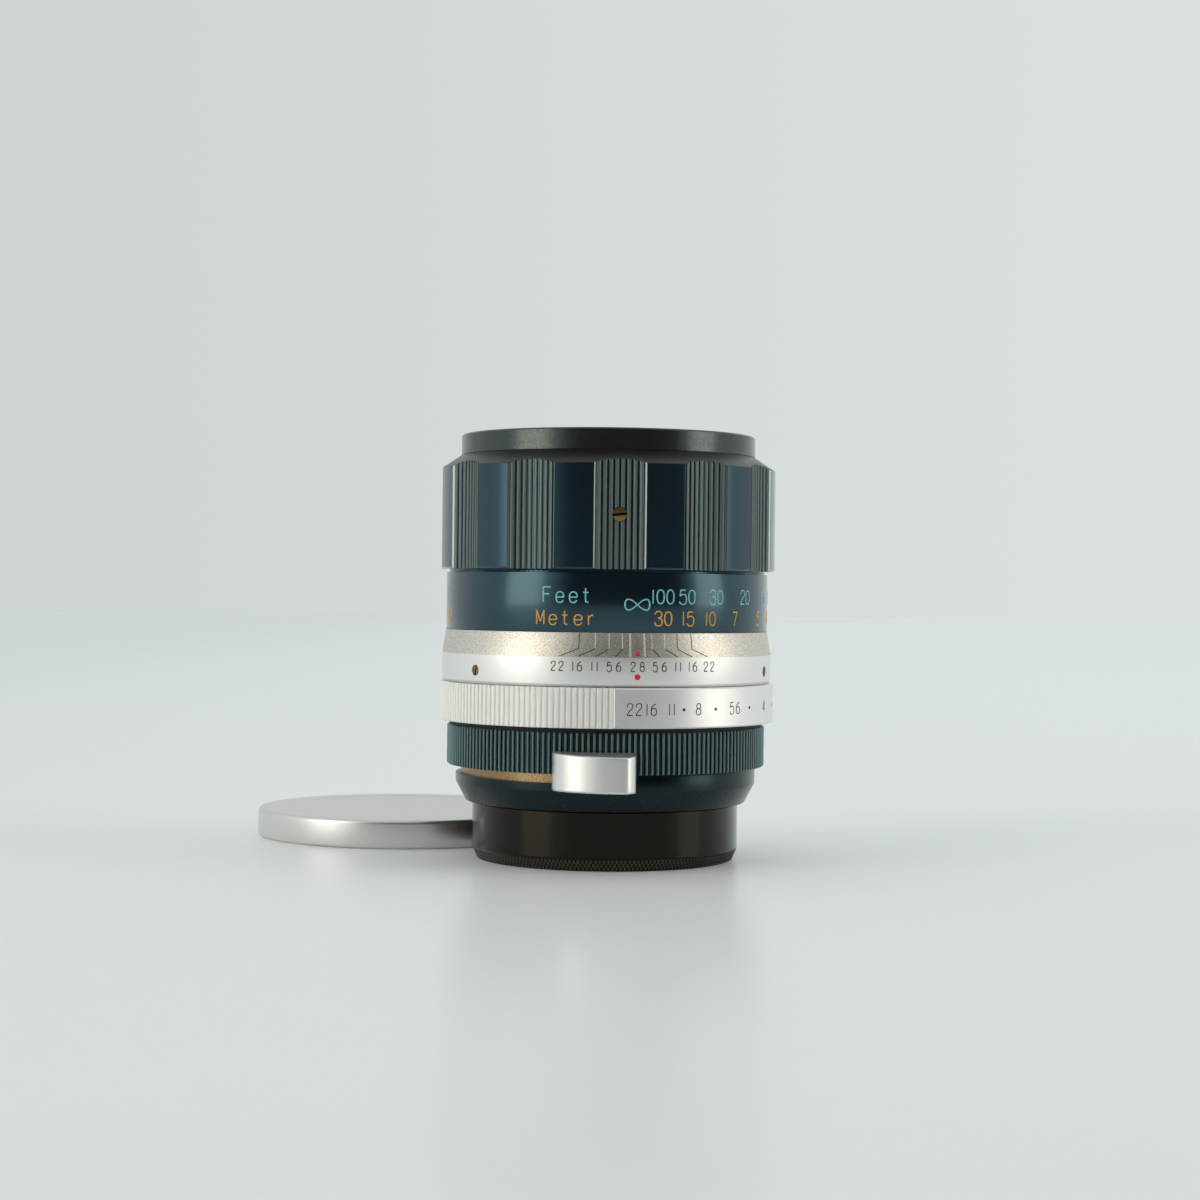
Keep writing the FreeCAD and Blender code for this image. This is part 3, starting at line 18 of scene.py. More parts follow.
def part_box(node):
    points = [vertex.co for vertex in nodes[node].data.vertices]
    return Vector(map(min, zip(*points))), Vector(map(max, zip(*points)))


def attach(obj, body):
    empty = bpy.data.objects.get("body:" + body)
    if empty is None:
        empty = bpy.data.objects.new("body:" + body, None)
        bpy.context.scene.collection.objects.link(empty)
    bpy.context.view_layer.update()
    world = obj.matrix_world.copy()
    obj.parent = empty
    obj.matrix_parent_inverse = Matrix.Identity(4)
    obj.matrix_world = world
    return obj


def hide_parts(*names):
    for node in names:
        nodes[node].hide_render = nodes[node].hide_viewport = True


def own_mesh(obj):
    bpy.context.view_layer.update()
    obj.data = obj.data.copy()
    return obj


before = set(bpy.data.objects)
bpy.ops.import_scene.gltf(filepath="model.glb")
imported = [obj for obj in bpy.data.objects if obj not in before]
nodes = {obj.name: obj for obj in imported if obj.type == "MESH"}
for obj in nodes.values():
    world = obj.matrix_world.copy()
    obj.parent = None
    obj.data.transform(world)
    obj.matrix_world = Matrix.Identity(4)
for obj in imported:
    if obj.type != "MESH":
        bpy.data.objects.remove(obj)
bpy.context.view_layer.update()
MM = 0.001

# %% [markdown]
# ## The camera
#
# The camera was fitted to the photograph: the front rim and the rear cap appear as flat ellipses, and how flat
# they are gives the camera's height. It stands about 41 cm away at the height of the lens's middle, a little to
# the left of the index mark, and looks almost level.

# %% Place the camera
CAMERA_DISTANCE = 415.08 * MM
CAMERA_HEIGHT = 47.31 * MM
CAMERA_AZIMUTH = math.radians(-10.3)
TILT_DOWN = 0.00412
TURN = -0.00295
ROLL = 0.01075

camera_data = bpy.data.cameras.new("camera")
camera_data.sensor_width = 36
camera_data.lens = 70.09
camera_data.clip_start = 0.01
camera = bpy.data.objects.new("camera", camera_data)
bpy.context.scene.collection.objects.link(camera)
camera.matrix_world = (
    Matrix.Rotation(CAMERA_AZIMUTH, 4, "Z")
    @ Matrix.Translation((0, -CAMERA_DISTANCE, CAMERA_HEIGHT))
    @ Matrix.Rotation(-TURN, 4, "Z")
    @ Matrix.Rotation(math.pi / 2 - TILT_DOWN, 4, "X")
    @ Matrix.Rotation(ROLL, 4, "Z")
)
bpy.context.scene.camera = camera
bpy.context.scene.view_settings.view_transform = "Standard"
print("camera at", [round(value / MM, 1) for value in camera.location])

# %% [markdown]
# ## Turned pieces
#
# A lathe makes a ring by moving a tool along an outline while the work spins. Blender's Spin does the same: an
# outline of (radius, height) points is swept round the axis. The outline starts as a circle primitive whose
# vertices are pulled into place, and its corners are eased with a vertex bevel, because no turned edge is truly
# sharp and it is the eased edge that catches the light.

# %% The lathe
def in_edit_mode(piece, work):
    """Runs some operators on everything in a piece, in edit mode."""
    bpy.ops.object.select_all(action="DESELECT")
    piece.select_set(True)
    bpy.context.view_layer.objects.active = piece
    bpy.ops.object.mode_set(mode="EDIT")
    bpy.ops.mesh.select_all(action="SELECT")
    work()
    bpy.ops.object.mode_set(mode="OBJECT")


def close_up(piece, angle=30):
    """Merges seams, turns faces outwards and smooths what is rounder than an angle."""
    def work():
        bpy.ops.mesh.remove_doubles(threshold=2e-7)
        bpy.ops.mesh.delete_loose()
        bpy.ops.mesh.select_all(action="SELECT")
        bpy.ops.mesh.normals_make_consistent(inside=False)
    in_edit_mode(piece, work)
    bpy.ops.object.shade_smooth_by_angle(angle=math.radians(angle))
    return piece


def outline_piece(name, outline):
    """A ring of loose edges through (radius, height) points, in the plane of azimuth 90."""
    bpy.ops.object.select_all(action="DESELECT")
    bpy.ops.mesh.primitive_circle_add(vertices=len(outline), radius=1)
    piece = bpy.context.object
    piece.name = piece.data.name = name
    for vertex, (radius, height) in zip(piece.data.vertices, outline):
        vertex.co = (radius * MM, 0, height * MM)
    return piece


def turned(name, outline, ease=0.06, steps=180):
    """Spins an outline round the lens axis; corners off the axis are eased by so many millimetres."""
    piece = outline_piece(name, outline)

    def ease_corners():
        bpy.ops.mesh.bevel(offset=ease * MM, segments=2, affect="VERTICES")

    def spin():
        bpy.ops.mesh.spin(steps=steps, angle=math.tau, center=(0, 0, 0), axis=(0, 0, 1))

    if ease:
        in_edit_mode(piece, ease_corners)
    in_edit_mode(piece, spin)
    return close_up(piece)


def finish_piece(piece, body, material, replaced=None):
    """Gives a piece its material and its body, hides the CAD part it replaces and prints its size."""
    piece.data.materials.clear()
    piece.data.materials.append(material)
    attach(piece, body)
    if replaced:
        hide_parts(replaced)
    low = min(corner[2] for corner in piece.bound_box) / MM
    high = max(corner[2] for corner in piece.bound_box) / MM
    print(f"{piece.name}: {len(piece.data.polygons)} faces, {low:.2f} to {high:.2f} mm high")

# %% [markdown]
# ## Metal
#
# Every finish here is metal with the marks of its making: turning lines that run round the axis, a grain from
# blasting or anodising, and edges that are polished by hands. One function builds such a metal. The turning lines
# are noise that depends only on the distance from the axis and on the height, so they close into rings by
# themselves, on cylinders, cones and flat faces alike. An image of lines would need a map for every piece and would
# stretch on the cones.

# %% Nodes and colours
def hex_colour(text):
    """A colour written as sRGB hex, as linear values with alpha."""
    channels = [int(text[place:place + 2], 16) / 255 for place in (1, 3, 5)]
    return [c / 12.92 if c <= 0.04045 else ((c + 0.055) / 1.055) ** 2.4 for c in channels] + [1]


def add_node(material, kind, inputs=(), **settings):
    """Adds a node to a material or world, sets it up and links what comes in."""
    made = material.node_tree.nodes.new(kind)
    for name, value in settings.items():
        setattr(made, name, value)
    for socket, value in dict(inputs).items():
        if isinstance(value, bpy.types.NodeSocket):
            material.node_tree.links.new(value, made.inputs[socket])
        else:
            made.inputs[socket].default_value = value
    return made


def new_material(name):
    material = bpy.data.materials.new(name)
    material.use_nodes = True
    material.node_tree.nodes.clear()
    return material


def turning_lines(material, spacing, axis=(0, 0)):
    """Rings of noise about an upright axis, so many millimetres apart, which close by themselves."""
    place = add_node(material, "ShaderNodeTexCoord").outputs["Object"]
    centred = add_node(material, "ShaderNodeVectorMath", {0: place, 1: (axis[0] * MM, axis[1] * MM, 0)},
                       operation="SUBTRACT").outputs[0]
    parts = add_node(material, "ShaderNodeSeparateXYZ", {0: centred}).outputs
    flat = add_node(material, "ShaderNodeCombineXYZ", {"X": parts["X"], "Y": parts["Y"]}).outputs[0]
    radius = add_node(material, "ShaderNodeVectorMath", {0: flat}, operation="LENGTH").outputs["Value"]
    rings = add_node(material, "ShaderNodeCombineXYZ", {"X": radius, "Y": parts["Z"]}).outputs[0]
    return add_node(material, "ShaderNodeTexNoise",
                    {"Vector": rings, "Scale": 1 / (spacing * MM), "Detail": 2, "Roughness": 0.6}).outputs[0]


def grain(material, size):
    """Even noise with grains of so many millimetres."""
    place = add_node(material, "ShaderNodeTexCoord").outputs["Object"]
    return add_node(material, "ShaderNodeTexNoise",
                    {"Vector": place, "Scale": 1 / (size * MM), "Detail": 3}).outputs[0]


print("metals keep their patterns in millimetres")

# %% [markdown]
# ### One function for every worked metal
#
# Both patterns feed three things. Mixed, they make the roughness patchy, as hands and blasting leave it. The rings
# and grains tint the metal between its colour and its sheen colour. Added up, they are the relief, in millimetres.
# Anodising grows a clear or dyed glassy layer, which is the coat.
#
# A lathe's feed marks are really 0.05 to 0.1 mm apart, and an anodised grain is finer still. That is too fine to show
# in the render, so the lines are drawn 0.15 mm apart and the grains 0.2 mm wide or more.

# %% Worked metal
# Hands and cleaning leave patches about as wide as a fingertip's contact, 6 mm.
PATCH_SIZE = 6


def worked_metal(name, colour, roughness, lines=0.15, line_depth=0.0006, grain_size=0.2, grain_depth=0.0004,
                 mottle=0.06, metallic=1.0, coat=0.0, coat_roughness=0.2, axis=(0, 0), sheen_colour=None,
                 speckle=0.0):
    """A turned metal: its lines and grain are raised in millimetres, mottle varies its roughness and speckle
    mixes grains of the sheen colour in."""
    material = new_material(name)
    ring_noise = turning_lines(material, lines, axis)
    fine_grain = grain(material, grain_size)
    wide = grain(material, PATCH_SIZE)
    patches = add_node(material, "ShaderNodeMix", {"Factor": 0.4, "A": fine_grain, "B": wide}).outputs["Result"]
    patchy = add_node(material, "ShaderNodeMapRange",
                      {"Value": patches, "To Min": roughness - mottle, "To Max": roughness + mottle}).outputs[0]
    grains = add_node(material, "ShaderNodeMapRange",
                      {"Value": fine_grain, "From Min": 0.38, "From Max": 0.62, "To Max": speckle}).outputs[0]
    ring_tint = add_node(material, "ShaderNodeMath", {0: ring_noise, 1: 0.5 - speckle * 0.5}, operation="MULTIPLY")
    mixing = add_node(material, "ShaderNodeMath", {0: ring_tint.outputs[0], 1: grains}, operation="MAXIMUM")
    tint = add_node(material, "ShaderNodeMix", {"Factor": mixing.outputs[0]}, data_type="RGBA")
    tint.inputs["A"].default_value = hex_colour(colour)
    tint.inputs["B"].default_value = hex_colour(sheen_colour or colour)
    grain_relief = add_node(material, "ShaderNodeMath", {0: fine_grain, 1: grain_depth * MM}, operation="MULTIPLY")
    height = add_node(material, "ShaderNodeMath", {0: ring_noise, 1: line_depth * MM, 2: grain_relief.outputs[0]},
                      operation="MULTIPLY_ADD").outputs[0]
    relief = add_node(material, "ShaderNodeBump", {"Strength": 1.0, "Distance": 1.0, "Height": height}).outputs[0]
    surface = add_node(material, "ShaderNodeBsdfPrincipled",
                       {"Base Color": tint.outputs["Result"], "Roughness": patchy, "Metallic": metallic,
                        "Normal": relief, "Coat Weight": coat, "Coat Roughness": coat_roughness, "Coat IOR": 1.5})
    add_node(material, "ShaderNodeOutputMaterial", {"Surface": surface.outputs[0]})
    return material


# %% [markdown]
# ### The silver metals
#
# All of them are aluminium under a clear anodic layer, and only the cut differs. What the cut leaves decides how
# wide the highlights are, so each gets its own roughness and relief.

# %% Silver metals
# Turned: fine rings about 0.15 mm apart give a soft satin sheen that runs round the piece.
satin_silver = worked_metal("clear_anodised_turned_aluminium", "#F5F5F3", 0.42, grain_depth=0.0012,
                            sheen_colour="#E8E8E5")
# Milled and matt etched: scattered scratches send light everywhere, so it reads white from all sides.
milled_silver = worked_metal("clear_anodised_milled_aluminium", "#FFFFFA", 0.46, metallic=0.12, grain_depth=0.002)
# Bead blasted: pits of about 0.17 mm sparkle light and dark and leave a warm grainy grey.
blasted_silver = worked_metal("blasted_anodised_aluminium", "#F0ECE2", 0.42, line_depth=0.0001, grain_size=0.17,
                              grain_depth=0.02, mottle=0.1, sheen_colour="#B5AFA0", speckle=0.85)
print("silver metals made")

# %% [markdown]
# ### The black metals
#
# Black anodised aluminium is dyed metal under a hard clear layer. It is never quite black: the dye fades to blue,
# green or brown, and the layer adds a sharper reflection on top, which is the coat.

# %% Black metals
# Turned and dyed blue-black, with a thick sealed layer: deep colour, sharp window-like reflections.
blue_black = worked_metal("blue_black_anodised_aluminium", "#2A4752", 0.22, coat=0.6, coat_roughness=0.08,
                          grain_size=0.3, grain_depth=0.003, sheen_colour="#1F3945")
# Milled ribs of the same dye: the cutter's marks make them dull and greyer than the turned lands.
milled_black = worked_metal("blue_black_anodised_milled_aluminium", "#6C7977", 0.46, metallic=0.5,
                            grain_depth=0.002, sheen_colour="#5E6C6B")
# Painted highlight on the narrow slopes beside the lands: a light grey that stands in for a lamp's glint there.
edge_highlight = worked_metal("painted_highlight_anodised_edge", "#97A29F", 0.3, grain_depth=0.001, sheen_colour="#6F7B79")
# The shoulder is dyed neutral and barely sealed: soft warm grey, no sharp reflection.
shoulder_black = worked_metal("neutral_black_anodised_shoulder", "#454341", 0.36, coat=0.2, grain_size=0.3,
                              grain_depth=0.002, sheen_colour="#3A3836")
# The base has the deepest dye: nearly black, with fine blue specks.
base_black = worked_metal("dark_anodised_base_aluminium", "#17282D", 0.28, coat=0.3, grain_size=0.3,
                          grain_depth=0.003, sheen_colour="#122027", speckle=0.4)
# The front rim, rubbed by caps: grey-black, with grains of about 0.2 mm that break its reflections up.
rim_black = worked_metal("neutral_black_anodised_aluminium", "#525A57", 0.24, coat=0.3, coat_roughness=0.12,
                         grain_size=0.2, grain_depth=0.006, sheen_colour="#262E2F", speckle=0.7)
# The rear cap, turned and dyed brown-black: smooth, dark, with narrow highlights.
cap_black = worked_metal("black_anodised_turned_aluminium", "#221B11", 0.17, coat=0.3, coat_roughness=0.1,
                         grain_size=0.25, grain_depth=0.004, sheen_colour="#15120D", speckle=0.6)
# The worn flanks of its knurl: rubbed-thin dye, with each diamond's glint painted in as a lighter tick.
knurl_wear_and_glint = worked_metal("worn_knurl_with_painted_glint", "#57534A", 0.32, grain_depth=0.001, sheen_colour="#403D38")
# The lock ring's crests: faded to green by light, with a glossy layer.
grip_black = worked_metal("green_black_anodised_aluminium", "#5D7878", 0.36, metallic=0.7, coat=0.4,
                          grain_depth=0.001)
# Inner walls are matt black against stray light: almost no reflection.
inner_black = worked_metal("matt_black_anodised_aluminium", "#141415", 0.6, metallic=0.3)
print("black metals made")

# %% [markdown]
# ### Brass
#
# The bare brass pieces were turned bright and have tarnished since, in brown specks of a quarter of a millimetre. A
# plain yellow metal would look new and a little like plastic, so the specks mix a darker brown in.

# %% Brass
# Turned and tarnished: dull yellow with brown specks.
turned_brass = worked_metal("turned_brass", "#AC926C", 0.34, grain_size=0.25, grain_depth=0.01, mottle=0.1,
                            sheen_colour="#6C5640", speckle=0.7)
# Screw heads are handled more: the same tarnish, evenly spread.
screw_brass = worked_metal("tarnished_brass", "#A08050", 0.36, grain_size=0.3, grain_depth=0.004, mottle=0.1,
                           sheen_colour="#6B5236")
print("brass made")

# %% [markdown]
# ## Ribbed rings
#
# Ribs are cut one after another with the same cutter, so they are modelled the same way: one pitch of ribs, all
# the way round the ring's section, then copied round the axis with Spin's duplicates. The pitch is a grid
# primitive. Its columns follow the ribs' plan, a list of (azimuth, radius) points, and its rows follow the
# section. Each row is a rule that takes the plan's radius and gives a (radius, height) point, so a bevel or cone
# at the end of the ring cuts each rib where it meets it, as turning the ring after ribbing it does. A bump pattern
# would be quicker, but then the ring's outline would stay smooth, and here the ribs show in it.

# %% Columns across the ribs, rows round the section
def stretch(name, plan, rows):
    """One stretch of a ribbed ring, open at both sides."""
    bpy.ops.object.select_all(action="DESELECT")
    bpy.ops.mesh.primitive_grid_add(x_subdivisions=len(plan) - 1, y_subdivisions=len(rows) - 1, size=1)
    piece = bpy.context.object
    piece.name = piece.data.name = name
    for vertex in piece.data.vertices:
        row, column = divmod(vertex.index, len(plan))
        azimuth, plan_radius = plan[column]
        radius, height = rows[row](plan_radius)
        angle = math.radians(azimuth)
        vertex.co = (radius * MM * math.sin(angle), -radius * MM * math.cos(angle), height * MM)
    return piece


def copy_round(piece, count, pitch):
    """Copies a stretch round the axis, each copy one pitch on from the last."""
    def work():
        bpy.ops.mesh.spin(steps=count - 1, angle=-math.radians(pitch) * (count - 1), dupli=True,
                          center=(0, 0, 0), axis=(0, 0, 1))
    in_edit_mode(piece, work)
    return piece


def join(pieces, name):
    """Joins pieces into the first one."""
    bpy.ops.object.select_all(action="DESELECT")
    for piece in pieces:
        piece.select_set(True)
    bpy.context.view_layer.objects.active = pieces[0]
    bpy.ops.object.join()
    pieces[0].name = pieces[0].data.name = name
    return pieces[0]


print("stretches of ring can be made, copied round and joined")

# %% Ribs and their finish
RIB_PITCH = 2.0


def rib_shape(flank):
    """A whole rib as (share of half a pitch, share of its depth) points, groove to groove, from one flank."""
    return [(-1.0, 1.0)] + [(-across, sunk) for across, sunk in reversed(flank)] + flank


def refinish(piece, material, chosen):
    """Gives another finish to the faces that a rule picks by their middle, in millimetres, and their normal."""
    picked = [face for face in piece.data.polygons if chosen(face.center / MM, face.normal)]
    piece.data.materials.append(material)
    for face in picked:
        face.material_index = len(piece.data.materials) - 1
    print(f"{piece.name}: {material.name} on {len(picked)} faces")


def azimuth_of(point):
    """A point's azimuth in degrees, 0 at the index."""
    return math.degrees(math.atan2(point.x, -point.y))


print("ribs stand", RIB_PITCH, "degrees apart")

# %% [markdown]
# ## The rear cap
#
# The lens stands on a screw cap: a cup turned from the solid, with a diamond knurl rolled into its bevelled foot so
# that fingers can grip it. A bump pattern could stand for the knurl, but the foot's outline would stay smooth. So the
# diamonds are modelled: alternate points of a small grid are pressed in, and the grid is copied round. Real diamonds
# are about 0.5 mm wide, too fine to show in the render, so they are drawn 0.74 mm wide.

# %% The knurl's rows
CAP_RADIUS, CAP_HEIGHT, CAP_FLOOR, CAP_BORE = 23.5, 9.9, 2.4, 21.05
CAP_FOOT_RADIUS, CAP_GRIP_HEIGHT = 22.6, 2.1
KNURL_DEPTH = 0.16
KNURLS_ROUND = 100
KNURL_ROWS = 6
knurl_pitch = 360 / KNURLS_ROUND


def knurl_rule(step):
    """One row of the knurled cone; the plan's radius says whether this column starts high or low."""
    def rule(plan_radius):
        share = (step + 0.5) / (KNURL_ROWS + 1)
        radius = CAP_FOOT_RADIUS + (CAP_RADIUS - CAP_FOOT_RADIUS) * share
        pressed = (plan_radius > 0.5) == (step // 2 % 2 == 0)
        return radius - (KNURL_DEPTH if pressed else 0), CAP_GRIP_HEIGHT * share
    return rule


def fixed(radius, height):
    """A row that doesn't depend on the plan."""
    return lambda plan_radius: (radius, height)


print("knurl diamonds", round(math.tau * CAP_RADIUS / KNURLS_ROUND / 2, 2), "mm wide")

# %% Rear cap
cap_plan = [(knurl_pitch * column / 4, float(column % 2)) for column in range(5)]
cap_rows = [fixed(0, 0.0), fixed(CAP_FOOT_RADIUS - 0.25, 0.0), fixed(CAP_FOOT_RADIUS - 0.05, 0.08)]
cap_rows += [knurl_rule(step) for step in range(KNURL_ROWS + 1)]
cap_rows += [fixed(*point) for point in (
    (CAP_RADIUS, CAP_GRIP_HEIGHT + 0.12), (CAP_RADIUS, CAP_HEIGHT - 0.03), (CAP_RADIUS - 0.03, CAP_HEIGHT),
    (CAP_BORE + 0.1, CAP_HEIGHT), (CAP_BORE, CAP_HEIGHT - 0.1), (CAP_BORE, CAP_FLOOR), (0, CAP_FLOOR))]
rear_cap = copy_round(stretch("knurled_rear_cap", cap_plan, cap_rows), KNURLS_ROUND, knurl_pitch)
close_up(rear_cap, 24)
finish_piece(rear_cap, "rear_cap", cap_black, "rear_cap")

# %% [markdown]
# ### The knurl's worn flanks and painted glints
#
# Hands rub the dye off a knurl, and each diamond glints. Even the coarser diamonds are only about four pixels wide
# in the render, which averages the glints into plain grey. So alternate facets get a lighter worn finish that paints
# the glints in, in rows that change over with the diamonds. A mask in the material could do it too, but faces picked
# by their place can't drift off the shape.

# %% Worn flanks and painted glints
def on_knurl_flank(middle, normal):
    """True on alternate facets of the knurl."""
    column = math.floor(azimuth_of(middle) / knurl_pitch * 4)
    row = math.floor(middle.z / CAP_GRIP_HEIGHT * (KNURL_ROWS + 1) - 0.5)
    return 0 <= row < KNURL_ROWS and middle.z < CAP_GRIP_HEIGHT and (column + row // 2) % 2 == 0


# Alternate facets get the lighter finish: rubbed dye and a painted glint.
refinish(rear_cap, knurl_wear_and_glint, on_knurl_flank)

# %% [markdown]
# ## The mount base
#
# Above the cap the base flares out in a cone and ends in a low wall with a long slot, in which the mode lever
# swings. It is turned first and slotted afterwards, as a milling cutter would do it: the cutter is a stretch of
# ring, taken away with a Boolean. Faces of the wall could be deleted instead, but that would leave the slot's edges
# open, and the Boolean closes them by itself.

# %% Turn the base
BASE_FOOT, BASE_EDGE, BASE_FLOOR, BASE_TOP = 10.2, 13.6, 14.93, 16.58
BASE_FOOT_RADIUS, BASE_RADIUS, BASE_WALL_BORE = 24.7, 26.5, 25.6
SPIGOT_RADIUS, SPIGOT_BORE, SPIGOT_FLOOR, SPIGOT_TOP = 23.9, 20.5, 13.0, 17.2
SEAT_RADIUS, SEAT_BORE, SEAT_HEIGHT = 23.0, 15.7, 11.4
mount_base = turned("slotted_mount_base", [
    (SEAT_RADIUS, BASE_FOOT), (BASE_FOOT_RADIUS, BASE_FOOT), (BASE_RADIUS, BASE_EDGE), (BASE_RADIUS, BASE_TOP),
    (BASE_WALL_BORE, BASE_TOP), (BASE_WALL_BORE, BASE_FLOOR), (SPIGOT_RADIUS, BASE_FLOOR),
    (SPIGOT_RADIUS, SPIGOT_TOP), (SPIGOT_BORE, SPIGOT_TOP), (SPIGOT_BORE, SPIGOT_FLOOR), (SEAT_BORE, SPIGOT_FLOOR),
    (SEAT_BORE, SEAT_HEIGHT), (SEAT_RADIUS, SEAT_HEIGHT)], ease=0.08)
print("base turned", BASE_RADIUS, "mm in radius")

# %% Closed stretches and cutting
def section(inner, outer, foot, top):
    """The rows of a plain ring's section, closed."""
    corners = [(inner, foot), (outer, foot), (outer, top), (inner, top), (inner, foot)]
    return [fixed(*corner) for corner in corners]


def close_ends(piece):
    """Closes both open ends of a stretch."""
    def work():
        bpy.ops.mesh.remove_doubles(threshold=2e-7)
        bpy.ops.mesh.select_all(action="DESELECT")
        bpy.ops.mesh.select_non_manifold()
        bpy.ops.mesh.fill_holes(sides=0)
    in_edit_mode(piece, work)
    close_up(piece)


def every(step, first, last):
    """Azimuths from first to last, about a step apart."""
    count = max(1, round((last - first) / step))
    return [first + (last - first) * number / count for number in range(count + 1)]


def cut_away(piece, cutter):
    """Takes one closed piece away from another."""
    bpy.ops.object.select_all(action="DESELECT")
    piece.select_set(True)
    bpy.context.view_layer.objects.active = piece
    cutting = piece.modifiers.new("cut", "BOOLEAN")
    cutting.object = cutter
    cutting.solver = "EXACT"
    bpy.ops.object.modifier_apply(modifier=cutting.name)
    bpy.data.objects.remove(cutter)
    print(f"{piece.name}: {len(piece.data.polygons)} faces after the cut")


# %% Mill the slot
SLOT_LEFT, SLOT_RIGHT, SLOT_FOOT = -128, -7.5, 15.05
slot_cutter = stretch("slot_cutter", [(azimuth, 0) for azimuth in every(2, SLOT_LEFT, SLOT_RIGHT)],
                      section(BASE_WALL_BORE - 0.2, BASE_RADIUS + 1, SLOT_FOOT, BASE_TOP + 1))
close_ends(slot_cutter)
cut_away(mount_base, slot_cutter)
bpy.ops.object.shade_smooth_by_angle(angle=math.radians(30))
finish_piece(mount_base, "lens_body", base_black, "mount_base")

# %% [markdown]
# ## The mode lever
#
# A brass ring turns inside the wall and shows in the slot. Its bright tab stands out in front of the slot and
# thickens towards the finger. The tab's front is rounded most at its thin end, and the thick end has a wide bevel,
# which faces the light at the right. A bevelled block could be bent round the ring, but a short stretch of ring
# whose plan is the tab's front has the right curve from the start. It is closed at both ends and its edges are
# rounded with a Bevel modifier.

# %% Lever tab
TAB_PLAN = [(-27.9, 29.1), (-26.6, 30.1), (-24.6, 31.1), (-22.0, 32.0), (-19.0, 32.75), (-16.0, 33.3),
            (-13.0, 33.75), (-10.0, 34.1), (-7.0, 34.35), (-4.6, 34.5), (-3.7, 34.3), (-2.0, 33.3), (-1.3, 32.6),
            (-0.1, 28.9)]
TAB_FOOT, TAB_TOP, TAB_STEP, TAB_INNER, TAB_LOCK_INNER = 14.0, 20.5, 16.58, 26.68, 28.25
TAB_THIN, TAB_TOP_SLOPE = 29.1, 0.09
TAB_EDGE = 0.35
lever_grip = stretch("bevelled_lever_tab", TAB_PLAN, [
    fixed(TAB_INNER, TAB_FOOT), lambda r: (r, TAB_FOOT), lambda r: (r, TAB_TOP - TAB_TOP_SLOPE * (r - TAB_THIN)),
    fixed(TAB_LOCK_INNER, TAB_TOP), fixed(TAB_LOCK_INNER, TAB_STEP), fixed(TAB_INNER, TAB_STEP),
    fixed(TAB_INNER, TAB_FOOT)])
close_ends(lever_grip)
tab_edges = lever_grip.modifiers.new("edges", "BEVEL")
tab_edges.width, tab_edges.segments = TAB_EDGE * MM, 3
tab_edges.limit_method, tab_edges.angle_limit = "ANGLE", math.radians(40)
bpy.ops.object.modifier_apply(modifier=tab_edges.name)
bpy.ops.object.shade_smooth_by_angle(angle=math.radians(32))
# Aluminium polished with a coarse wheel and clear anodised: bright, with its scratches 0.2 mm apart just visible.
lever_silver = worked_metal("polished_lever_aluminium", "#F0F0EE", 0.37, lines=0.2, line_depth=0.002,
                            grain_size=0.3, grain_depth=0.0005, sheen_colour="#DAD9D5")
finish_piece(lever_grip, "mode_lever", lever_silver, "lever_tab")

# %% [markdown]
# ## The lock ring
#
# A finely ribbed black ring frees the rear mount when it is turned. Both its ends are bevelled after ribbing, which
# leaves each rib with a small bright facet top and bottom. Bevelling hundreds of rib ends one by one would be slow,
# so the section's rows do it: near an end, a row's height depends on how far out the rib is. The crests then get a
# lighter, faded finish, and the grooves keep the dark one.

# %% Lock ring
LOCK_RADIUS, LOCK_BORE, LOCK_FOOT, LOCK_TOP = 28.07, 26.05, 16.63, 23.66
LOCK_RIB_DEPTH = 0.34
LOCK_RIBS = 180
LOCK_RIB = rib_shape([(0.1, 0.0), (0.24, 0.07), (0.36, 0.22), (0.47, 0.48), (0.57, 0.78), (0.68, 1.0)])
END_BEVEL = 0.22


def ribbed_section(radius, bore, foot, top, bevel):
    """Rows of a ribbed ring whose two ends are bevelled after ribbing."""
    return [
        fixed(bore, foot), lambda r: (min(r, radius - bevel), foot),
        lambda r: (r, foot + max(0, bevel - radius + r)),
        lambda r: (r, top - max(0, bevel - radius + r)), lambda r: (min(r, radius - bevel), top), fixed(bore, top),
        fixed(bore, foot)]


lock_plan = [(across, LOCK_RADIUS - sunk * LOCK_RIB_DEPTH) for across, sunk in LOCK_RIB + [(1.0, 1.0)]]
lock_ring = stretch("ribbed_lock_ring", lock_plan,
                    ribbed_section(LOCK_RADIUS, LOCK_BORE, LOCK_FOOT, LOCK_TOP, END_BEVEL))
copy_round(lock_ring, LOCK_RIBS, RIB_PITCH)
close_up(lock_ring, 24)
finish_piece(lock_ring, "lock_ring", base_black, "lock_ring")
refinish(lock_ring, grip_black,
         lambda middle, normal: math.hypot(middle.x, middle.y) > LOCK_RADIUS - 0.5 * LOCK_RIB_DEPTH)

# %% [markdown]
# ## The aperture ring
#
# A bright ring sets the aperture. Its left and rear part is ribbed for the fingers, and the plain part carries the
# numbers. These ribs are wide with a narrow groove between them. Milling leaves them finely scratched, which
# scatters light, so they look white all round, where the turned part beside them is grey in the middle. The ribbed
# stretch lies a hair deeper than the plain one, as where a ring is turned down before it is cut. One grid could hold
# the whole ring, but ribs that are copied stay alike, so the ribbed and the plain part are two stretches, joined.

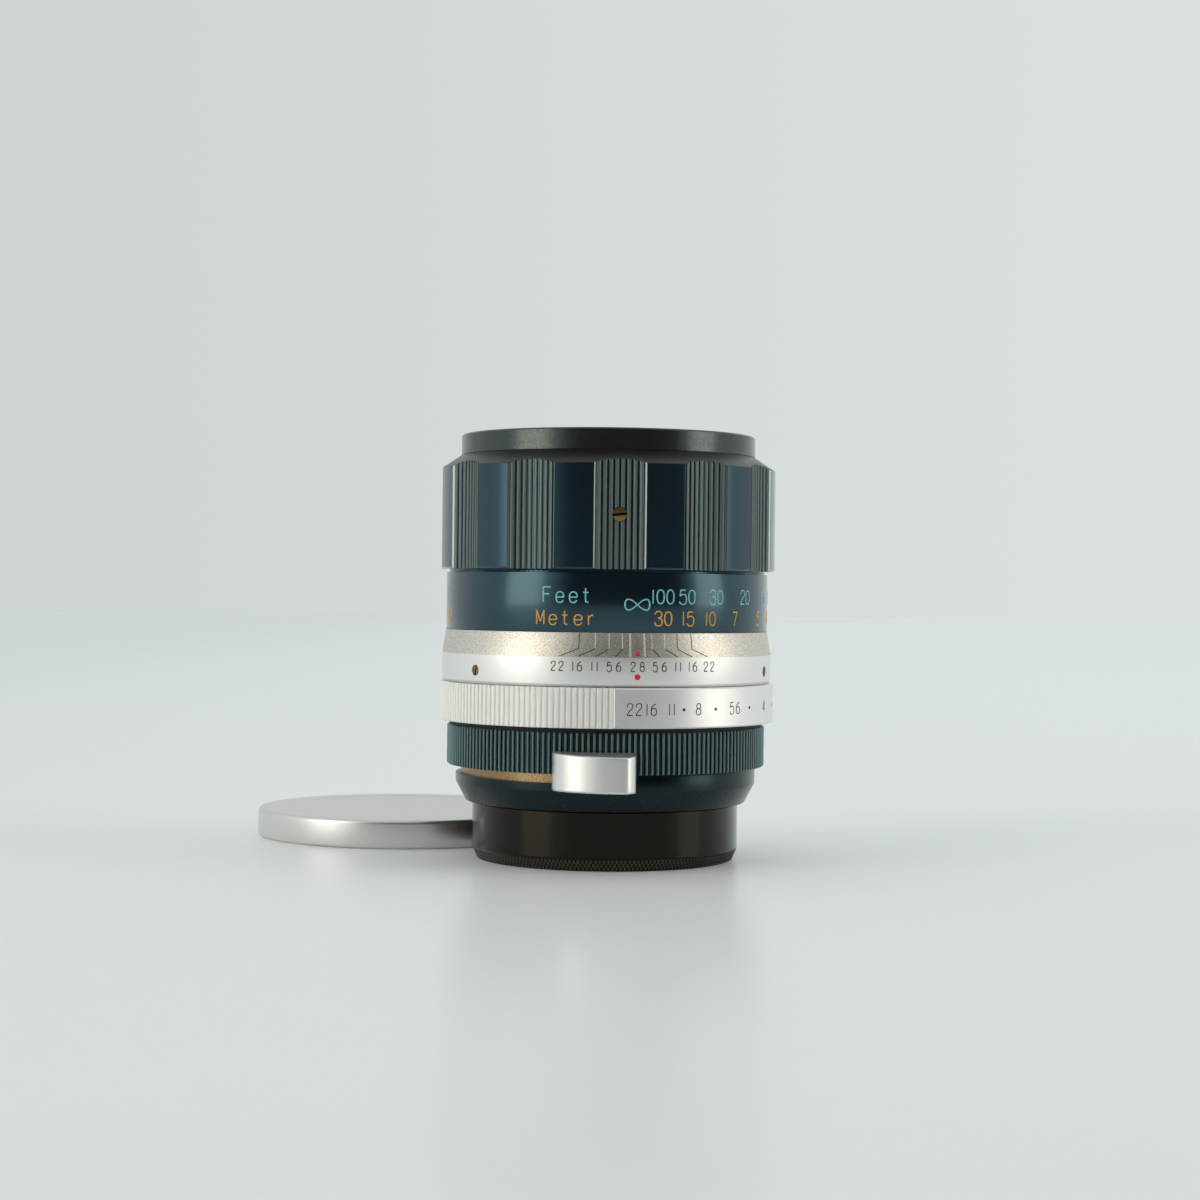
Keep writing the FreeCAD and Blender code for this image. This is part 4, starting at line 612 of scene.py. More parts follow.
# %% The ribbed part
APERTURE_RADIUS, APERTURE_BORE, APERTURE_FOOT, APERTURE_TOP = 29.6, 27.05, 24.44, 31.2
GRIP_RIBS, GRIP_SINK, GRIP_RIB_DEPTH, GRIP_RIGHT = 127, 0.1, 0.32, -7.6
WIDE_RIB = rib_shape([(0.34, 0.0), (0.52, 0.05), (0.62, 0.16), (0.7, 0.36), (0.76, 0.62), (0.81, 0.86),
                      (0.87, 1.0)])
APERTURE_BEVEL = 0.25
aperture_rows = ribbed_section(APERTURE_RADIUS, APERTURE_BORE, APERTURE_FOOT, APERTURE_TOP, APERTURE_BEVEL)
crest_radius = APERTURE_RADIUS - GRIP_SINK
last_rib = GRIP_RIGHT - 0.8
first_rib = last_rib - (GRIP_RIBS - 1) * RIB_PITCH


def wide_rib(middle):
    """The plan of one wide round rib, from a groove to just before the next."""
    return [(middle + across, crest_radius - sunk * GRIP_RIB_DEPTH) for across, sunk in WIDE_RIB]


groove_radius = crest_radius - GRIP_RIB_DEPTH
grip_side = stretch("grip_side", wide_rib(first_rib) + [(first_rib + 1, groove_radius)], aperture_rows)
copy_round(grip_side, GRIP_RIBS - 1, RIB_PITCH)
print(GRIP_RIBS, "wide ribs from azimuth", round(first_rib), "to", last_rib)

# %% The plain part, and the finishes
# The last rib's far flank runs into the plain part, whose two edges are eased by a few hundredths.
plain_plan = wide_rib(last_rib)[:-4]
plain_plan += [(GRIP_RIGHT - 0.04, crest_radius - 0.1), (GRIP_RIGHT + 0.02, APERTURE_RADIUS - 0.04)]
plain_plan += [(azimuth, APERTURE_RADIUS) for azimuth in every(2, GRIP_RIGHT + 0.15, first_rib + 359 - 0.3)]
plain_plan += [(first_rib + 358.85, APERTURE_RADIUS - 0.05), (first_rib + 359, groove_radius)]
plain_side = stretch("plain_side", plain_plan, aperture_rows)
aperture_ring = join([grip_side, plain_side], "ribbed_aperture_ring")
close_up(aperture_ring, 24)
finish_piece(aperture_ring, "aperture_ring", satin_silver, "aperture_ring")
grip_span = (GRIP_RIBS - 1) * RIB_PITCH + 1.8
refinish(aperture_ring, milled_silver,
         lambda middle, normal: math.hypot(middle.x, middle.y) > crest_radius - 0.5 * GRIP_RIB_DEPTH
         and (GRIP_RIGHT - azimuth_of(middle)) % 360 < grip_span)

# %% [markdown]
# ## The index ring
#
# The fixed ring with the index rises in a plain cylinder and then leans in as a cone, which carries the
# depth-of-field lines. Three grub screws hold it, so it is turned and then drilled: real holes let the screws sit
# below the surface, with a dark line round each, which a screw that is only laid on the ring wouldn't have. The cone
# is bead blasted before anodising, and the faces above the edge get that finish.

# %% Turn the index ring
INDEX_RADIUS, INDEX_TOP_RADIUS, TUBE_RADIUS = 29.1, 28.4, 27.0
INDEX_FOOT, INDEX_EDGE, INDEX_TOP, INDEX_FOOT_BEVEL = 31.25, 36.2, 40.3, 0.5
index_ring = turned("index_ring_with_cone", [
    (TUBE_RADIUS, INDEX_FOOT), (INDEX_RADIUS - INDEX_FOOT_BEVEL, INDEX_FOOT),
    (INDEX_RADIUS, INDEX_FOOT + INDEX_FOOT_BEVEL), (INDEX_RADIUS, INDEX_EDGE), (INDEX_TOP_RADIUS, INDEX_TOP),
    (TUBE_RADIUS, INDEX_TOP)], ease=0.05)
print("index ring turned, its cone", round(INDEX_TOP - INDEX_EDGE, 2), "mm high")

# %% Drill the screw holes and finish the ring
INDEX_SCREW_HEIGHT, INDEX_SCREW_RADIUS = 33.55, 0.85
INDEX_SCREW_AZIMUTHS = (60, 180, 300)


def radial_place(azimuth, radius, height, roll=0):
    """Stands what is modelled along +Z on the lens's side, facing outwards, turned by roll degrees."""
    return (Matrix.Rotation(math.radians(azimuth), 4, "Z") @ Matrix.Translation((0, -radius * MM, height * MM))
            @ Matrix.Rotation(math.radians(90), 4, "X") @ Matrix.Rotation(math.radians(roll), 4, "Z"))


def drill(piece, azimuth, radius, height, hole_radius, depth):
    """Drills a hole into a piece's side, so deep below a radius."""
    bpy.ops.mesh.primitive_cylinder_add(vertices=40, radius=hole_radius * MM, depth=2 * depth * MM)
    bit = bpy.context.object
    bit.data.transform(radial_place(azimuth, radius, height))
    cut_away(piece, bit)


for azimuth in INDEX_SCREW_AZIMUTHS:
    drill(index_ring, azimuth, INDEX_RADIUS, INDEX_SCREW_HEIGHT, INDEX_SCREW_RADIUS + 0.08, 1.8)
bpy.ops.object.shade_smooth_by_angle(angle=math.radians(30))
finish_piece(index_ring, "lens_body", satin_silver, "index_ring")
refinish(index_ring, blasted_silver, lambda middle, normal: middle.z > INDEX_EDGE + 0.03)

# %% [markdown]
# ## The distance sleeve
#
# The sleeve is plain and glossy, and carries the distance scale. A tube primitive would do for what shows of it, but
# the same lathe also gives it the collar that reaches up inside the focusing ring and eases its edges.

# %% Distance sleeve
SCALE_RADIUS, SCALE_FOOT, SCALE_TOP, SLEEVE_BORE = 28.4, 40.35, 50.3, 27.05
COLLAR_RADIUS, COLLAR_BORE, COLLAR_FOOT, COLLAR_TOP = 27.9, 27.35, 49.95, 52.6
distance_sleeve = turned("distance_scale_sleeve", [
    (SLEEVE_BORE, SCALE_FOOT), (SCALE_RADIUS, SCALE_FOOT), (SCALE_RADIUS, SCALE_TOP), (COLLAR_RADIUS, SCALE_TOP),
    (COLLAR_RADIUS, COLLAR_TOP), (COLLAR_BORE, COLLAR_TOP), (COLLAR_BORE, COLLAR_FOOT),
    (SLEEVE_BORE, COLLAR_FOOT)], ease=0.07)
finish_piece(distance_sleeve, "focus_ring", blue_black, "distance_sleeve")

# %% [markdown]
# ## The focusing ring
#
# Above the sleeve the focusing ring has twelve hollow grips, each scooped by a wide cutter and ribbed, between
# smooth lands. Scooping with Booleans and ribbing afterwards would need about a hundred cuts, so one twelfth of the
# plan is written down as the cutters would leave it, and that stretch is copied round.

# %% Plan of a grip and a land
FOCUS_RADIUS = 29.65
VALLEYS, VALLEY_MIDDLE, VALLEY_HALF, VALLEY_DEPTH = 12, -6.3, 8.0, 0.95
VALLEY_RIBS, VALLEY_RIB_DEPTH = 8, 0.28
VALLEY_RIB = rib_shape([(0.2, 0.0), (0.37, 0.05), (0.5, 0.16), (0.6, 0.36), (0.68, 0.62), (0.76, 0.88),
                        (0.84, 1.0)])


def hollow_radius(across):
    """The radius of the scooped surface at an angle from the middle of a grip."""
    return FOCUS_RADIUS - VALLEY_DEPTH * max(0, 1 - (across / VALLEY_HALF) ** 2)


focus_plan = []
for rib in range(VALLEY_RIBS):
    middle = -VALLEY_HALF + (rib + 0.5) * RIB_PITCH
    focus_plan += [(middle + across, hollow_radius(middle + across) - sunk * VALLEY_RIB_DEPTH)
                   for across, sunk in VALLEY_RIB]
focus_plan += [(VALLEY_HALF, FOCUS_RADIUS - VALLEY_RIB_DEPTH), (VALLEY_HALF + 0.5, FOCUS_RADIUS - 0.03)]
focus_plan += [(azimuth, FOCUS_RADIUS) for azimuth in every(2, VALLEY_HALF + 0.6, 22 - 0.6)]
focus_plan += [(21.5, FOCUS_RADIUS - 0.03), (22, FOCUS_RADIUS - VALLEY_RIB_DEPTH)]
focus_plan = [(VALLEY_MIDDLE + azimuth, radius) for azimuth, radius in focus_plan]
print(len(focus_plan), "points in the plan of one grip and one land")

# %% [markdown]
# ### The ring's section and its screw holes
#
# The shoulder is turned last, as a cone, and cuts the ribs off in a scalloped line. The rows do that cut: a row on
# the shoulder takes its height from the plan's radius, so a rib that stands further out is cut lower down. The edge
# between wall and shoulder is eased by a row on each side of it.

# %% Section of the focusing ring
FOCUS_BORE, FOCUS_FOOT, FOCUS_EDGE, FOCUS_TOP, FOCUS_BEVEL = 27.9, 50.84, 68.5, 70.93, 0.3
FOCUS_TOP_RADIUS, FOCUS_LIP_BORE, FOCUS_LIP, FOCUS_EASE = 26.0, 25.65, 66.6, 0.07
shoulder_slope = (FOCUS_TOP - FOCUS_EDGE) / (FOCUS_RADIUS - FOCUS_TOP_RADIUS)


def shoulder(radius):
    """The height of the shoulder's cone at a radius."""
    return FOCUS_EDGE + (FOCUS_RADIUS - radius) * shoulder_slope


focus_rows = [
    fixed(FOCUS_BORE, FOCUS_FOOT), lambda r: (min(r, FOCUS_RADIUS - FOCUS_BEVEL), FOCUS_FOOT),
    lambda r: (r, FOCUS_FOOT + max(0, FOCUS_BEVEL - FOCUS_RADIUS + r)),
    lambda r: (r, shoulder(r) - FOCUS_EASE), lambda r: (r - FOCUS_EASE, shoulder(r - FOCUS_EASE)),
    fixed(FOCUS_TOP_RADIUS + 0.05, FOCUS_TOP - 0.03),
    fixed(FOCUS_TOP_RADIUS - 0.02, FOCUS_TOP), fixed(FOCUS_LIP_BORE, FOCUS_TOP), fixed(FOCUS_LIP_BORE, FOCUS_LIP),
    fixed(FOCUS_BORE, FOCUS_LIP), fixed(FOCUS_BORE, FOCUS_FOOT)]
focus_ring = stretch("scalloped_focusing_ring", focus_plan, focus_rows)
copy_round(focus_ring, VALLEYS, 360 / VALLEYS)
close_up(focus_ring, 24)
print("one twelfth copied round", VALLEYS, "times")

# %% Drill it
FOCUS_SCREW_HEIGHT, FOCUS_SCREW_RADIUS = 59.94, 1.2
FOCUS_SCREW_AZIMUTHS = (VALLEY_MIDDLE, VALLEY_MIDDLE + 120, VALLEY_MIDDLE + 240)
for azimuth in FOCUS_SCREW_AZIMUTHS:
    drill(focus_ring, azimuth, FOCUS_RADIUS, FOCUS_SCREW_HEIGHT, FOCUS_SCREW_RADIUS + 0.06, 1.7)
bpy.ops.object.shade_smooth_by_angle(angle=math.radians(24))
finish_piece(focus_ring, "focus_ring", blue_black, "focus_ring")

# %% [markdown]
# ### Its finishes
#
# One ring shows four looks. The lands are glossy, the ribs' crests are dull and greyer, the narrow slopes beside the
# lands get a light grey that is a painted highlight, and the shoulder is a plainer grey. Each face is picked by where
# it lies, because the finishes follow the cuts exactly.

# %% Crests, painted edge highlights and shoulder
TWELFTH = 360 / VALLEYS


def from_grip(middle):
    """How many degrees a point is from the middle of the nearest grip."""
    return (azimuth_of(middle) - VALLEY_MIDDLE + TWELFTH / 2) % TWELFTH - TWELFTH / 2


def on_crest(middle, normal):
    """True on the upper half of a grip's rib."""
    across = from_grip(middle)
    reach = math.hypot(middle.x, middle.y)
    return abs(across) < VALLEY_HALF - 0.2 and reach > hollow_radius(across) - 0.5 * VALLEY_RIB_DEPTH


def on_worn_edge(middle, normal):
    """True on the narrow slope between a land and a grip."""
    on_slope = VALLEY_HALF < abs(from_grip(middle)) < VALLEY_HALF + 0.5
    return on_slope and FOCUS_FOOT + 1 < middle.z < FOCUS_EDGE and abs(normal.z) < 0.1


refinish(focus_ring, milled_black, on_crest)
# The slopes beside the lands get a light grey: a painted highlight.
refinish(focus_ring, edge_highlight, on_worn_edge)
refinish(focus_ring, shoulder_black, lambda middle, normal: normal.z > 0.5)

# %% [markdown]
# ## Brass screws
#
# The screws are slotted brass. Each is a cylinder with an eased rim and a slot sawn across it, modelled upright and
# stood on the lens's side. A dark line painted on would look flat from the side, so the slot is cut. The slots point
# all ways, as a fitter leaves them, and their floors are painted near black as the shade that falls in them.

# %% Screws
# Below this depth a slot's floor is painted near black as shade.
SCREW_SHADE_DEPTH = 0.12


def slotted_screw(name, radius, length, slot):
    """A screw along +Z with its face at the origin."""
    bpy.ops.object.select_all(action="DESELECT")
    bpy.ops.mesh.primitive_cylinder_add(vertices=48, radius=radius * MM, depth=length * MM,
                                        location=(0, 0, -length * MM / 2))
    screw = bpy.context.object
    screw.name = screw.data.name = name
    bpy.ops.object.transform_apply()
    rim = screw.modifiers.new("rim", "BEVEL")
    rim.width, rim.segments, rim.limit_method = radius * 0.09 * MM, 2, "ANGLE"
    bpy.ops.object.modifier_apply(modifier=rim.name)
    bpy.ops.mesh.primitive_cube_add(size=1)
    saw = bpy.context.object
    saw.scale = (4 * radius * MM, slot * MM, slot * 3 * MM)
    bpy.ops.object.transform_apply()
    cut_away(screw, saw)
    return screw


def stand_screws(name, radius, length, slot, azimuths, face, height, rolls, body, replaced):
    """Makes one screw for each azimuth, its face so far from the axis, and joins them."""
    screws = []
    for azimuth, roll in zip(azimuths, rolls):
        screw = slotted_screw(name, radius, length, slot)
        screw.data.transform(radial_place(azimuth, face, height, roll))
        screws.append(screw)
    joined = join(screws, name)
    close_up(joined)
    finish_piece(joined, body, screw_brass, replaced)
    # Faces this deep in the slots get the matt black: painted shade on their floors.
    refinish(joined, inner_black, lambda middle, normal: math.hypot(middle.x, middle.y) < face - SCREW_SHADE_DEPTH)


stand_screws("brass_grip_screws", FOCUS_SCREW_RADIUS, 0.72, 0.42, FOCUS_SCREW_AZIMUTHS, 28.62, FOCUS_SCREW_HEIGHT,
             (6, 50, 100), "focus_ring", "focus_screws")
stand_screws("brass_index_screws", INDEX_SCREW_RADIUS, 1.9, 0.3, INDEX_SCREW_AZIMUTHS, 29.02, INDEX_SCREW_HEIGHT,
             (85, 65, 80), "lens_body", "index_screws")

# %% [markdown]
# ## The front cap
#
# The push-on front cap is spun from sheet: a shallow pan with a rolled lower edge and a slightly sunk middle. Its
# rounded corner could come from a bevel, but ten points on an arc give it a true quarter circle. It is turned about
# the lens axis like the rest and then moved to where it lies, and its turning lines are centred there too.

# %% Front cap
LID_X, LID_Y, LID_RADIUS, LID_HEIGHT, LID_ROUNDING = -31.5, 41.9, 28.04, 5.3, 0.8
LID_BORE, LID_SHEET, LID_SUNK = 27.1, 0.7, 0.12
lid_corner = [(LID_RADIUS - LID_ROUNDING * (1 - math.sin(turn)), LID_HEIGHT - LID_ROUNDING * (1 - math.cos(turn)))
              for turn in (math.radians(degrees) for degrees in range(90, -1, -10))]
front_cap = turned("rolled_front_cap", [
    (LID_BORE, 0.0), (LID_RADIUS - 0.55, 0.0), (LID_RADIUS - 0.28, 0.1), (LID_RADIUS - 0.1, 0.3), (LID_RADIUS, 0.6),
    *lid_corner, (22.9, LID_HEIGHT), (22.6, LID_HEIGHT - LID_SUNK),
    (0, LID_HEIGHT - LID_SUNK), (0, LID_HEIGHT - LID_SHEET), (LID_BORE, LID_HEIGHT - LID_SHEET)], ease=0)
front_cap.data.transform(Matrix.Translation((LID_X * MM, LID_Y * MM, 0)))
# Aluminium spun over a form and clear anodised: a duller silver than the turned rings, with the same fine rings.
lid_silver = worked_metal("clear_anodised_spun_aluminium", "#E6E5E1", 0.34, axis=(LID_X, LID_Y),
                          sheen_colour="#D6D4CF")
finish_piece(front_cap, "front_cap", lid_silver, "front_cap")

# %% [markdown]
# ## The filter thread
#
# Seen from above, the front rim has a fine thread for filters. A Screw modifier could wind the true helix, but a
# thread this fine reads as a stack of grooves, so it is turned as rings and set as a liner into the rim's bore.

# %% Filter thread
THREAD_CREST, THREAD_ROOT, LINER_RADIUS = 23.8, 24.14, 24.3
THREAD_FOOT, THREAD_TOP, THREAD_PITCH = 70.25, 74.0, 0.75
thread_outline = [(LINER_RADIUS, THREAD_FOOT)]
for turn in range(int((THREAD_TOP - THREAD_FOOT) / THREAD_PITCH)):
    level = THREAD_FOOT + turn * THREAD_PITCH
    thread_outline += [(THREAD_CREST, level + 0.05), (THREAD_CREST, level + 0.15), (THREAD_ROOT, level + 0.38),
                       (THREAD_ROOT, level + 0.5)]
thread_outline += [(THREAD_CREST + 0.1, THREAD_TOP - 0.05), (LINER_RADIUS, THREAD_TOP)]
filter_thread = turned("filter_thread_rings", thread_outline, ease=0)
finish_piece(filter_thread, "optical_barrel", rim_black)

# %% [markdown]
# ## Engraved scales
#
# Scales on such a lens are cut with a round-nosed cutter that follows single lines and are then filled with paint.
# A text font has outlines, not single lines, so each character is drawn here as the cutter's own paths: closed
# loops and open curves are NURBS whose control points are the character's corners, and straight lines are plain.
# The paths are bent round the ring and given a round section that is sunk until only its crown shows.

# %% Cutter paths
PATHS = {
    "0": [("loop", (0, 0), (1, 0), (1, 1), (0, 1))],
    "1": [("line", (0.5, 0), (0.5, 1))],
    "2": [("curve", (0.02, 0.7), (0.02, 1.02), (1.02, 1.04), (1.02, 0.6), (0.3, 0.35), (0, 0)),
          ("line", (0, 0), (1, 0))],
    "3": [("curve", (0.03, 0.8), (0.08, 1.03), (0.98, 1.04), (0.98, 0.54), (0.4, 0.54)),
          ("curve", (0.4, 0.54), (1.04, 0.54), (1.04, -0.04), (0.04, -0.04), (0, 0.24))],
    "4": [("line", (0.74, 0), (0.74, 1)), ("line", (0.74, 1), (0, 0.27)), ("line", (0, 0.27), (1, 0.27))],
    "5": [("line", (0.9, 1), (0.16, 1)), ("line", (0.16, 1), (0.08, 0.55)),
          ("curve", (0.08, 0.55), (0.3, 0.7), (1.04, 0.68), (1.04, -0.04), (0.1, -0.04), (0, 0.18))],
    "6": [("curve", (0.82, 1), (0.3, 0.88), (0, 0.6), (0, 0.3)), ("loop", (0, 0), (1, 0), (1, 0.62), (0, 0.62))],
    "7": [("line", (0, 1), (1, 1)), ("curve", (1, 1), (0.5, 0.5), (0.34, 0))],
    "8": [("loop", (0, 0), (1, 0), (1, 0.54), (0, 0.54)),
          ("loop", (0.08, 0.54), (0.92, 0.54), (0.92, 1), (0.08, 1))],
    "9": [("curve", (0.18, 0), (0.7, 0.12), (1, 0.4), (1, 0.7)), ("loop", (1, 1), (0, 1), (0, 0.38), (1, 0.38))],
    "F": [("line", (0, 0), (0, 1)), ("line", (0, 1), (1, 1)), ("line", (0, 0.54), (0.8, 0.54))],
    "M": [("line", (0, 0), (0, 1)), ("line", (0, 1), (0.5, 0.2)), ("line", (0.5, 0.2), (1, 1)),
          ("line", (1, 1), (1, 0))],
    "e": [("line", (0.02, 0.34), (0.98, 0.34)),
          ("curve", (0.98, 0.34), (1, 0.68), (0, 0.7), (0, 0), (0.75, -0.05), (0.94, 0.14))],
    "t": [("curve", (0.35, 0.95), (0.35, 0.2), (0.38, 0), (0.8, 0)), ("line", (0, 0.66), (0.8, 0.66))],
    "r": [("line", (0.1, 0), (0.1, 0.66)), ("curve", (0.1, 0.4), (0.2, 0.66), (0.85, 0.68))],
}
NARROW = {"1": 0.3, "r": 0.8, "t": 0.85}
print(len(PATHS), "characters drawn")

# %% Words
def word(text, azimuth, foot, height, width, gap):
    """The paths of a word as (kind, points), centred on an azimuth; points are (azimuth, height) pairs."""
    widths = [width * NARROW.get(character, 1) for character in text]
    left = -(sum(widths) + gap * (len(text) - 1)) / 2
    paths = []
    for character, wide in zip(text, widths):
        for kind, *points in PATHS[character]:
            paths.append((kind, [(azimuth + math.degrees((left + across * wide) / SCALE_RADIUS), foot + up * height)
                                 for across, up in points]))
        left += wide + gap
    return paths


print("the word Feet takes", len(word("Feet", 0, 0, 1, 1, 1)), "paths")

# %% Bend, sink and fill them
SUNK_SHARE = 0.28


def engrave(name, paths, surface, thickness, body, material):
    """Bends paths round a surface, given as its radius at a height, and fills them with paint."""
    lines = bpy.data.curves.new(name, "CURVE")
    lines.dimensions = "3D"
    lines.bevel_depth = thickness / 2 * MM
    lines.bevel_resolution = 1
    lines.resolution_u = 5
    lines.use_fill_caps = True
    for kind, points in paths:
        path = lines.splines.new("POLY" if kind == "line" else "NURBS")
        path.points.add(len(points) - 1)
        for point, (azimuth, height) in zip(path.points, points):
            reach = (surface(height) - thickness * SUNK_SHARE) * MM
            angle = math.radians(azimuth)
            point.co = (reach * math.sin(angle), -reach * math.cos(angle), height * MM, 1)
        path.use_cyclic_u = kind == "loop"
        if kind != "line":
            path.order_u = 3
            path.use_endpoint_u = kind == "curve"
    piece = bpy.data.objects.new(name, lines)
    bpy.context.scene.collection.objects.link(piece)
    bpy.ops.object.select_all(action="DESELECT")
    piece.select_set(True)
    bpy.context.view_layer.objects.active = piece
    bpy.ops.object.convert(target="MESH")
    piece = bpy.context.object
    bpy.ops.object.shade_smooth()
    piece.data.materials.clear()
    piece.data.materials.append(material)
    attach(piece, body)
    print(name, len(piece.data.polygons), "faces")


print("engraved lines keep", round(0.5 + SUNK_SHARE, 2), "of their thickness below the surface")

# %% [markdown]
# ### Paint
#
# Enamel is wiped into the engraving and dries a little unevenly, which keeps small figures from looking printed. A
# plain colour would do at a distance. Here a grain of a quarter of a millimetre darkens it in places by a third and
# raises it by 4 thousandths of a millimetre. The bare lines are cut after anodising and show fresh metal.

# %% Paint for the scales
PAINT_GRAIN, PAINT_RELIEF, PAINT_SHADE = 0.25, 0.004, 0.7


def paint(name, colour, roughness=0.5):
    """A dull layer that is slightly uneven in colour."""
    material = new_material(name)
    fine = grain(material, PAINT_GRAIN)
    patches = add_node(material, "ShaderNodeMath", {0: fine, 1: 0.35}, operation="MULTIPLY").outputs[0]
    mixed = add_node(material, "ShaderNodeMix", {"Factor": patches}, data_type="RGBA")
    mixed.inputs["A"].default_value = hex_colour(colour)
    mixed.inputs["B"].default_value = [c * PAINT_SHADE for c in hex_colour(colour)[:3]] + [1]
    height = add_node(material, "ShaderNodeMath", {0: fine, 1: PAINT_RELIEF * MM}, operation="MULTIPLY").outputs[0]
    relief = add_node(material, "ShaderNodeBump", {"Strength": 1.0, "Distance": 1.0, "Height": height}).outputs[0]
    surface = add_node(material, "ShaderNodeBsdfPrincipled", {"Base Color": mixed.outputs["Result"],
                                                              "Roughness": roughness, "Normal": relief})
    add_node(material, "ShaderNodeOutputMaterial", {"Surface": surface.outputs[0]})
    return material


# Half-dull enamels, wiped in and baked: they stand out on the dark sleeve and don't glint.
amber_paint = paint("amber_engraving_enamel", "#F2B53C")
cyan_paint = paint("pale_blue_engraving_enamel", "#8FDDE4")
# The same enamel in black for the silver rings, where thin strokes read grey.
dark_paint = paint("black_engraving_enamel", "#161616")
# Aluminium cut after anodising and left bare: brighter than the ring round it, without a coat.
bright_cut = worked_metal("freshly_cut_aluminium", "#F0F0EE", 0.5)
# Red enamel for the index: the one strong colour, so it is found at a glance.
red_paint = paint("red_engraving_enamel", "#FF1028")
print("paints mixed")

# %% [markdown]
# ## Where the distances stand
#
# A plain scale could be measured off the picture number by number, but a rule is right where the picture is dim.
# The focusing group moves in proportion to its turn, and the distance that is sharp follows from the lens formula.
# For this lens the turn in degrees is close to 270 / (distance - 0.22), with the distance in metres. So both rows
# of numbers come from one rule, and feet and metres agree wherever they meet.

# %% Distances and turns
FEET = 0.3048
METRE_MARKS = {"30": 30, "15": 15, "10": 10, "7": 7, "5": 5, "4": 4, "3": 3, "25": 2.5, "2": 2, "17": 1.7,
               "15 ": 1.5, "13": 1.3, "12": 1.2}
FEET_MARKS = (100, 50, 30, 20, 15, 12, 10, 8, 7, 6, 5, 4)


def turn_for(metres):
    """How far the ring has turned from infinity, in degrees, when a distance is sharp."""
    return 270 / (metres - 0.22)


print("1.2 m is sharp after", round(turn_for(1.2)), "degrees")

# %% Distance scale
def straight(height):
    """The sleeve's radius, the same at every height."""
    return SCALE_RADIUS


metre_paths = word("Meter", -24.5, 41.6, 2.35, 1.32, 0.95)
for text, metres in METRE_MARKS.items():
    metre_paths += word(text.strip(), turn_for(metres), 41.6, 2.25, 1.25, 0.5)
feet_paths = word("Feet", -24.1, 45.3, 2.5, 1.32, 0.98)
for feet in FEET_MARKS:
    feet_paths += word(str(feet), turn_for(feet * FEET), 45.2, 2.3, 1.25, 0.5)
# The sign for infinity is one closed loop whose control points cross over.
feet_paths.append(("loop", [(1.9, 45.9), (4.2, 45.9), (4.2, 44.1), (1.9, 44.1), (-1.9, 45.9), (-4.2, 45.9),
                            (-4.2, 44.1), (-1.9, 44.1)]))
engrave("metre_numbers", metre_paths, straight, 0.31, "focus_ring", amber_paint)
engrave("feet_numbers", feet_paths, straight, 0.31, "focus_ring", cyan_paint)

# %% [markdown]
# ## Depth-of-field scale and index
#
# The index ring's numbers pair up left and right of the index, and a bent line leads from each pair up to the
# distance scale. The lines could be pressed in with a Boolean, but paint fills them flush, so the same paths are
# bent on a surface that is a cylinder below and a cone above. The innermost lines are narrow and bare.

# %% Depth-of-field numbers
def cone(height):
    """The index ring's radius at a height: a cylinder below, a cone above."""
    share = max(0, (height - INDEX_EDGE) / (INDEX_TOP - INDEX_EDGE))
    return INDEX_RADIUS - (INDEX_RADIUS - INDEX_TOP_RADIUS) * share


DEPTH_NUMBERS = (("22", -26.6), ("16", -19.9), ("11", -14.1), ("56", -7.8), ("28", 0), ("56", 7.5), ("11", 14),
                 ("16", 19.5), ("22", 26))
WITH_POINT = ("56", "28")
depth_paths = []
for text, azimuth in DEPTH_NUMBERS:
    depth_paths += word(text, azimuth, 33.95, 1.5, 0.7, 0.84 if text in WITH_POINT else 0.64)
engrave("depth_numbers", depth_paths, cone, 0.22, "lens_body", dark_paint)

# %% Depth-of-field lines and the index line
LINE_TOP, LINE_KINK, LINE_FOOT = 40.2, 37.65, 36.35
BENT_LINES = ((-19.4, -26.0), (-14.0, -19.5), (-9.4, -13.6), (-5.0, -7.3), (5.0, 7.6), (9.4, 13.9), (14.0, 19.2),
              (19.4, 25.4))
filled_lines, bare_lines = [], []
for upper, lower in BENT_LINES:
    upright = bare_lines if -15 < upper < 10 else filled_lines
    upright.append(("line", [(upper, LINE_TOP), (upper, LINE_KINK)]))
    filled_lines.append(("line", [(upper + (lower - upper) * part / 8,
                                   LINE_KINK + (LINE_FOOT - LINE_KINK) * part / 8) for part in range(9)]))
bare_lines += [("line", [(azimuth + side, LINE_TOP), (azimuth + side, LINE_FOOT)])
               for azimuth in (-2.4, 2.4) for side in (-0.16, 0.16)]
engrave("depth_lines", filled_lines, cone, 0.2, "lens_body", dark_paint)
engrave("bare_depth_lines", bare_lines, cone, 0.13, "lens_body", bright_cut)
engrave("index_line", [("line", [(0, LINE_TOP), (0, LINE_FOOT)])], cone, 0.17, "lens_body", red_paint)

# %% [markdown]
# ### The index's triangle and dot
#
# A red triangle at the foot of the index line marks the distance, and a red dot below it marks the aperture. They
# are areas and not strokes, so they aren't paths: a short cylinder with three sides or with many is eased at its rim
# and let into the ring until it stands out by a few hundredths of a millimetre, as a drop of enamel does.

# %% Index triangle and dot
MARK_DEPTH, MARK_EASE = 0.4, 0.03


def dot(name, azimuth, height, radius, surface, proud, corners):
    """A small filled mark that stands out by a hair, modelled flat and stood on the ring."""
    bpy.ops.object.select_all(action="DESELECT")
    bpy.ops.mesh.primitive_cylinder_add(vertices=corners, radius=radius * MM, depth=MARK_DEPTH * MM)
    mark = bpy.context.object
    mark.name = mark.data.name = name
    rim = mark.modifiers.new("rim", "BEVEL")
    rim.width, rim.segments, rim.limit_method = MARK_EASE * MM, 2, "ANGLE"
    bpy.ops.object.modifier_apply(modifier=rim.name)
    mark.data.transform(radial_place(azimuth, surface(height) - MARK_DEPTH / 2 + proud, height))
    return mark


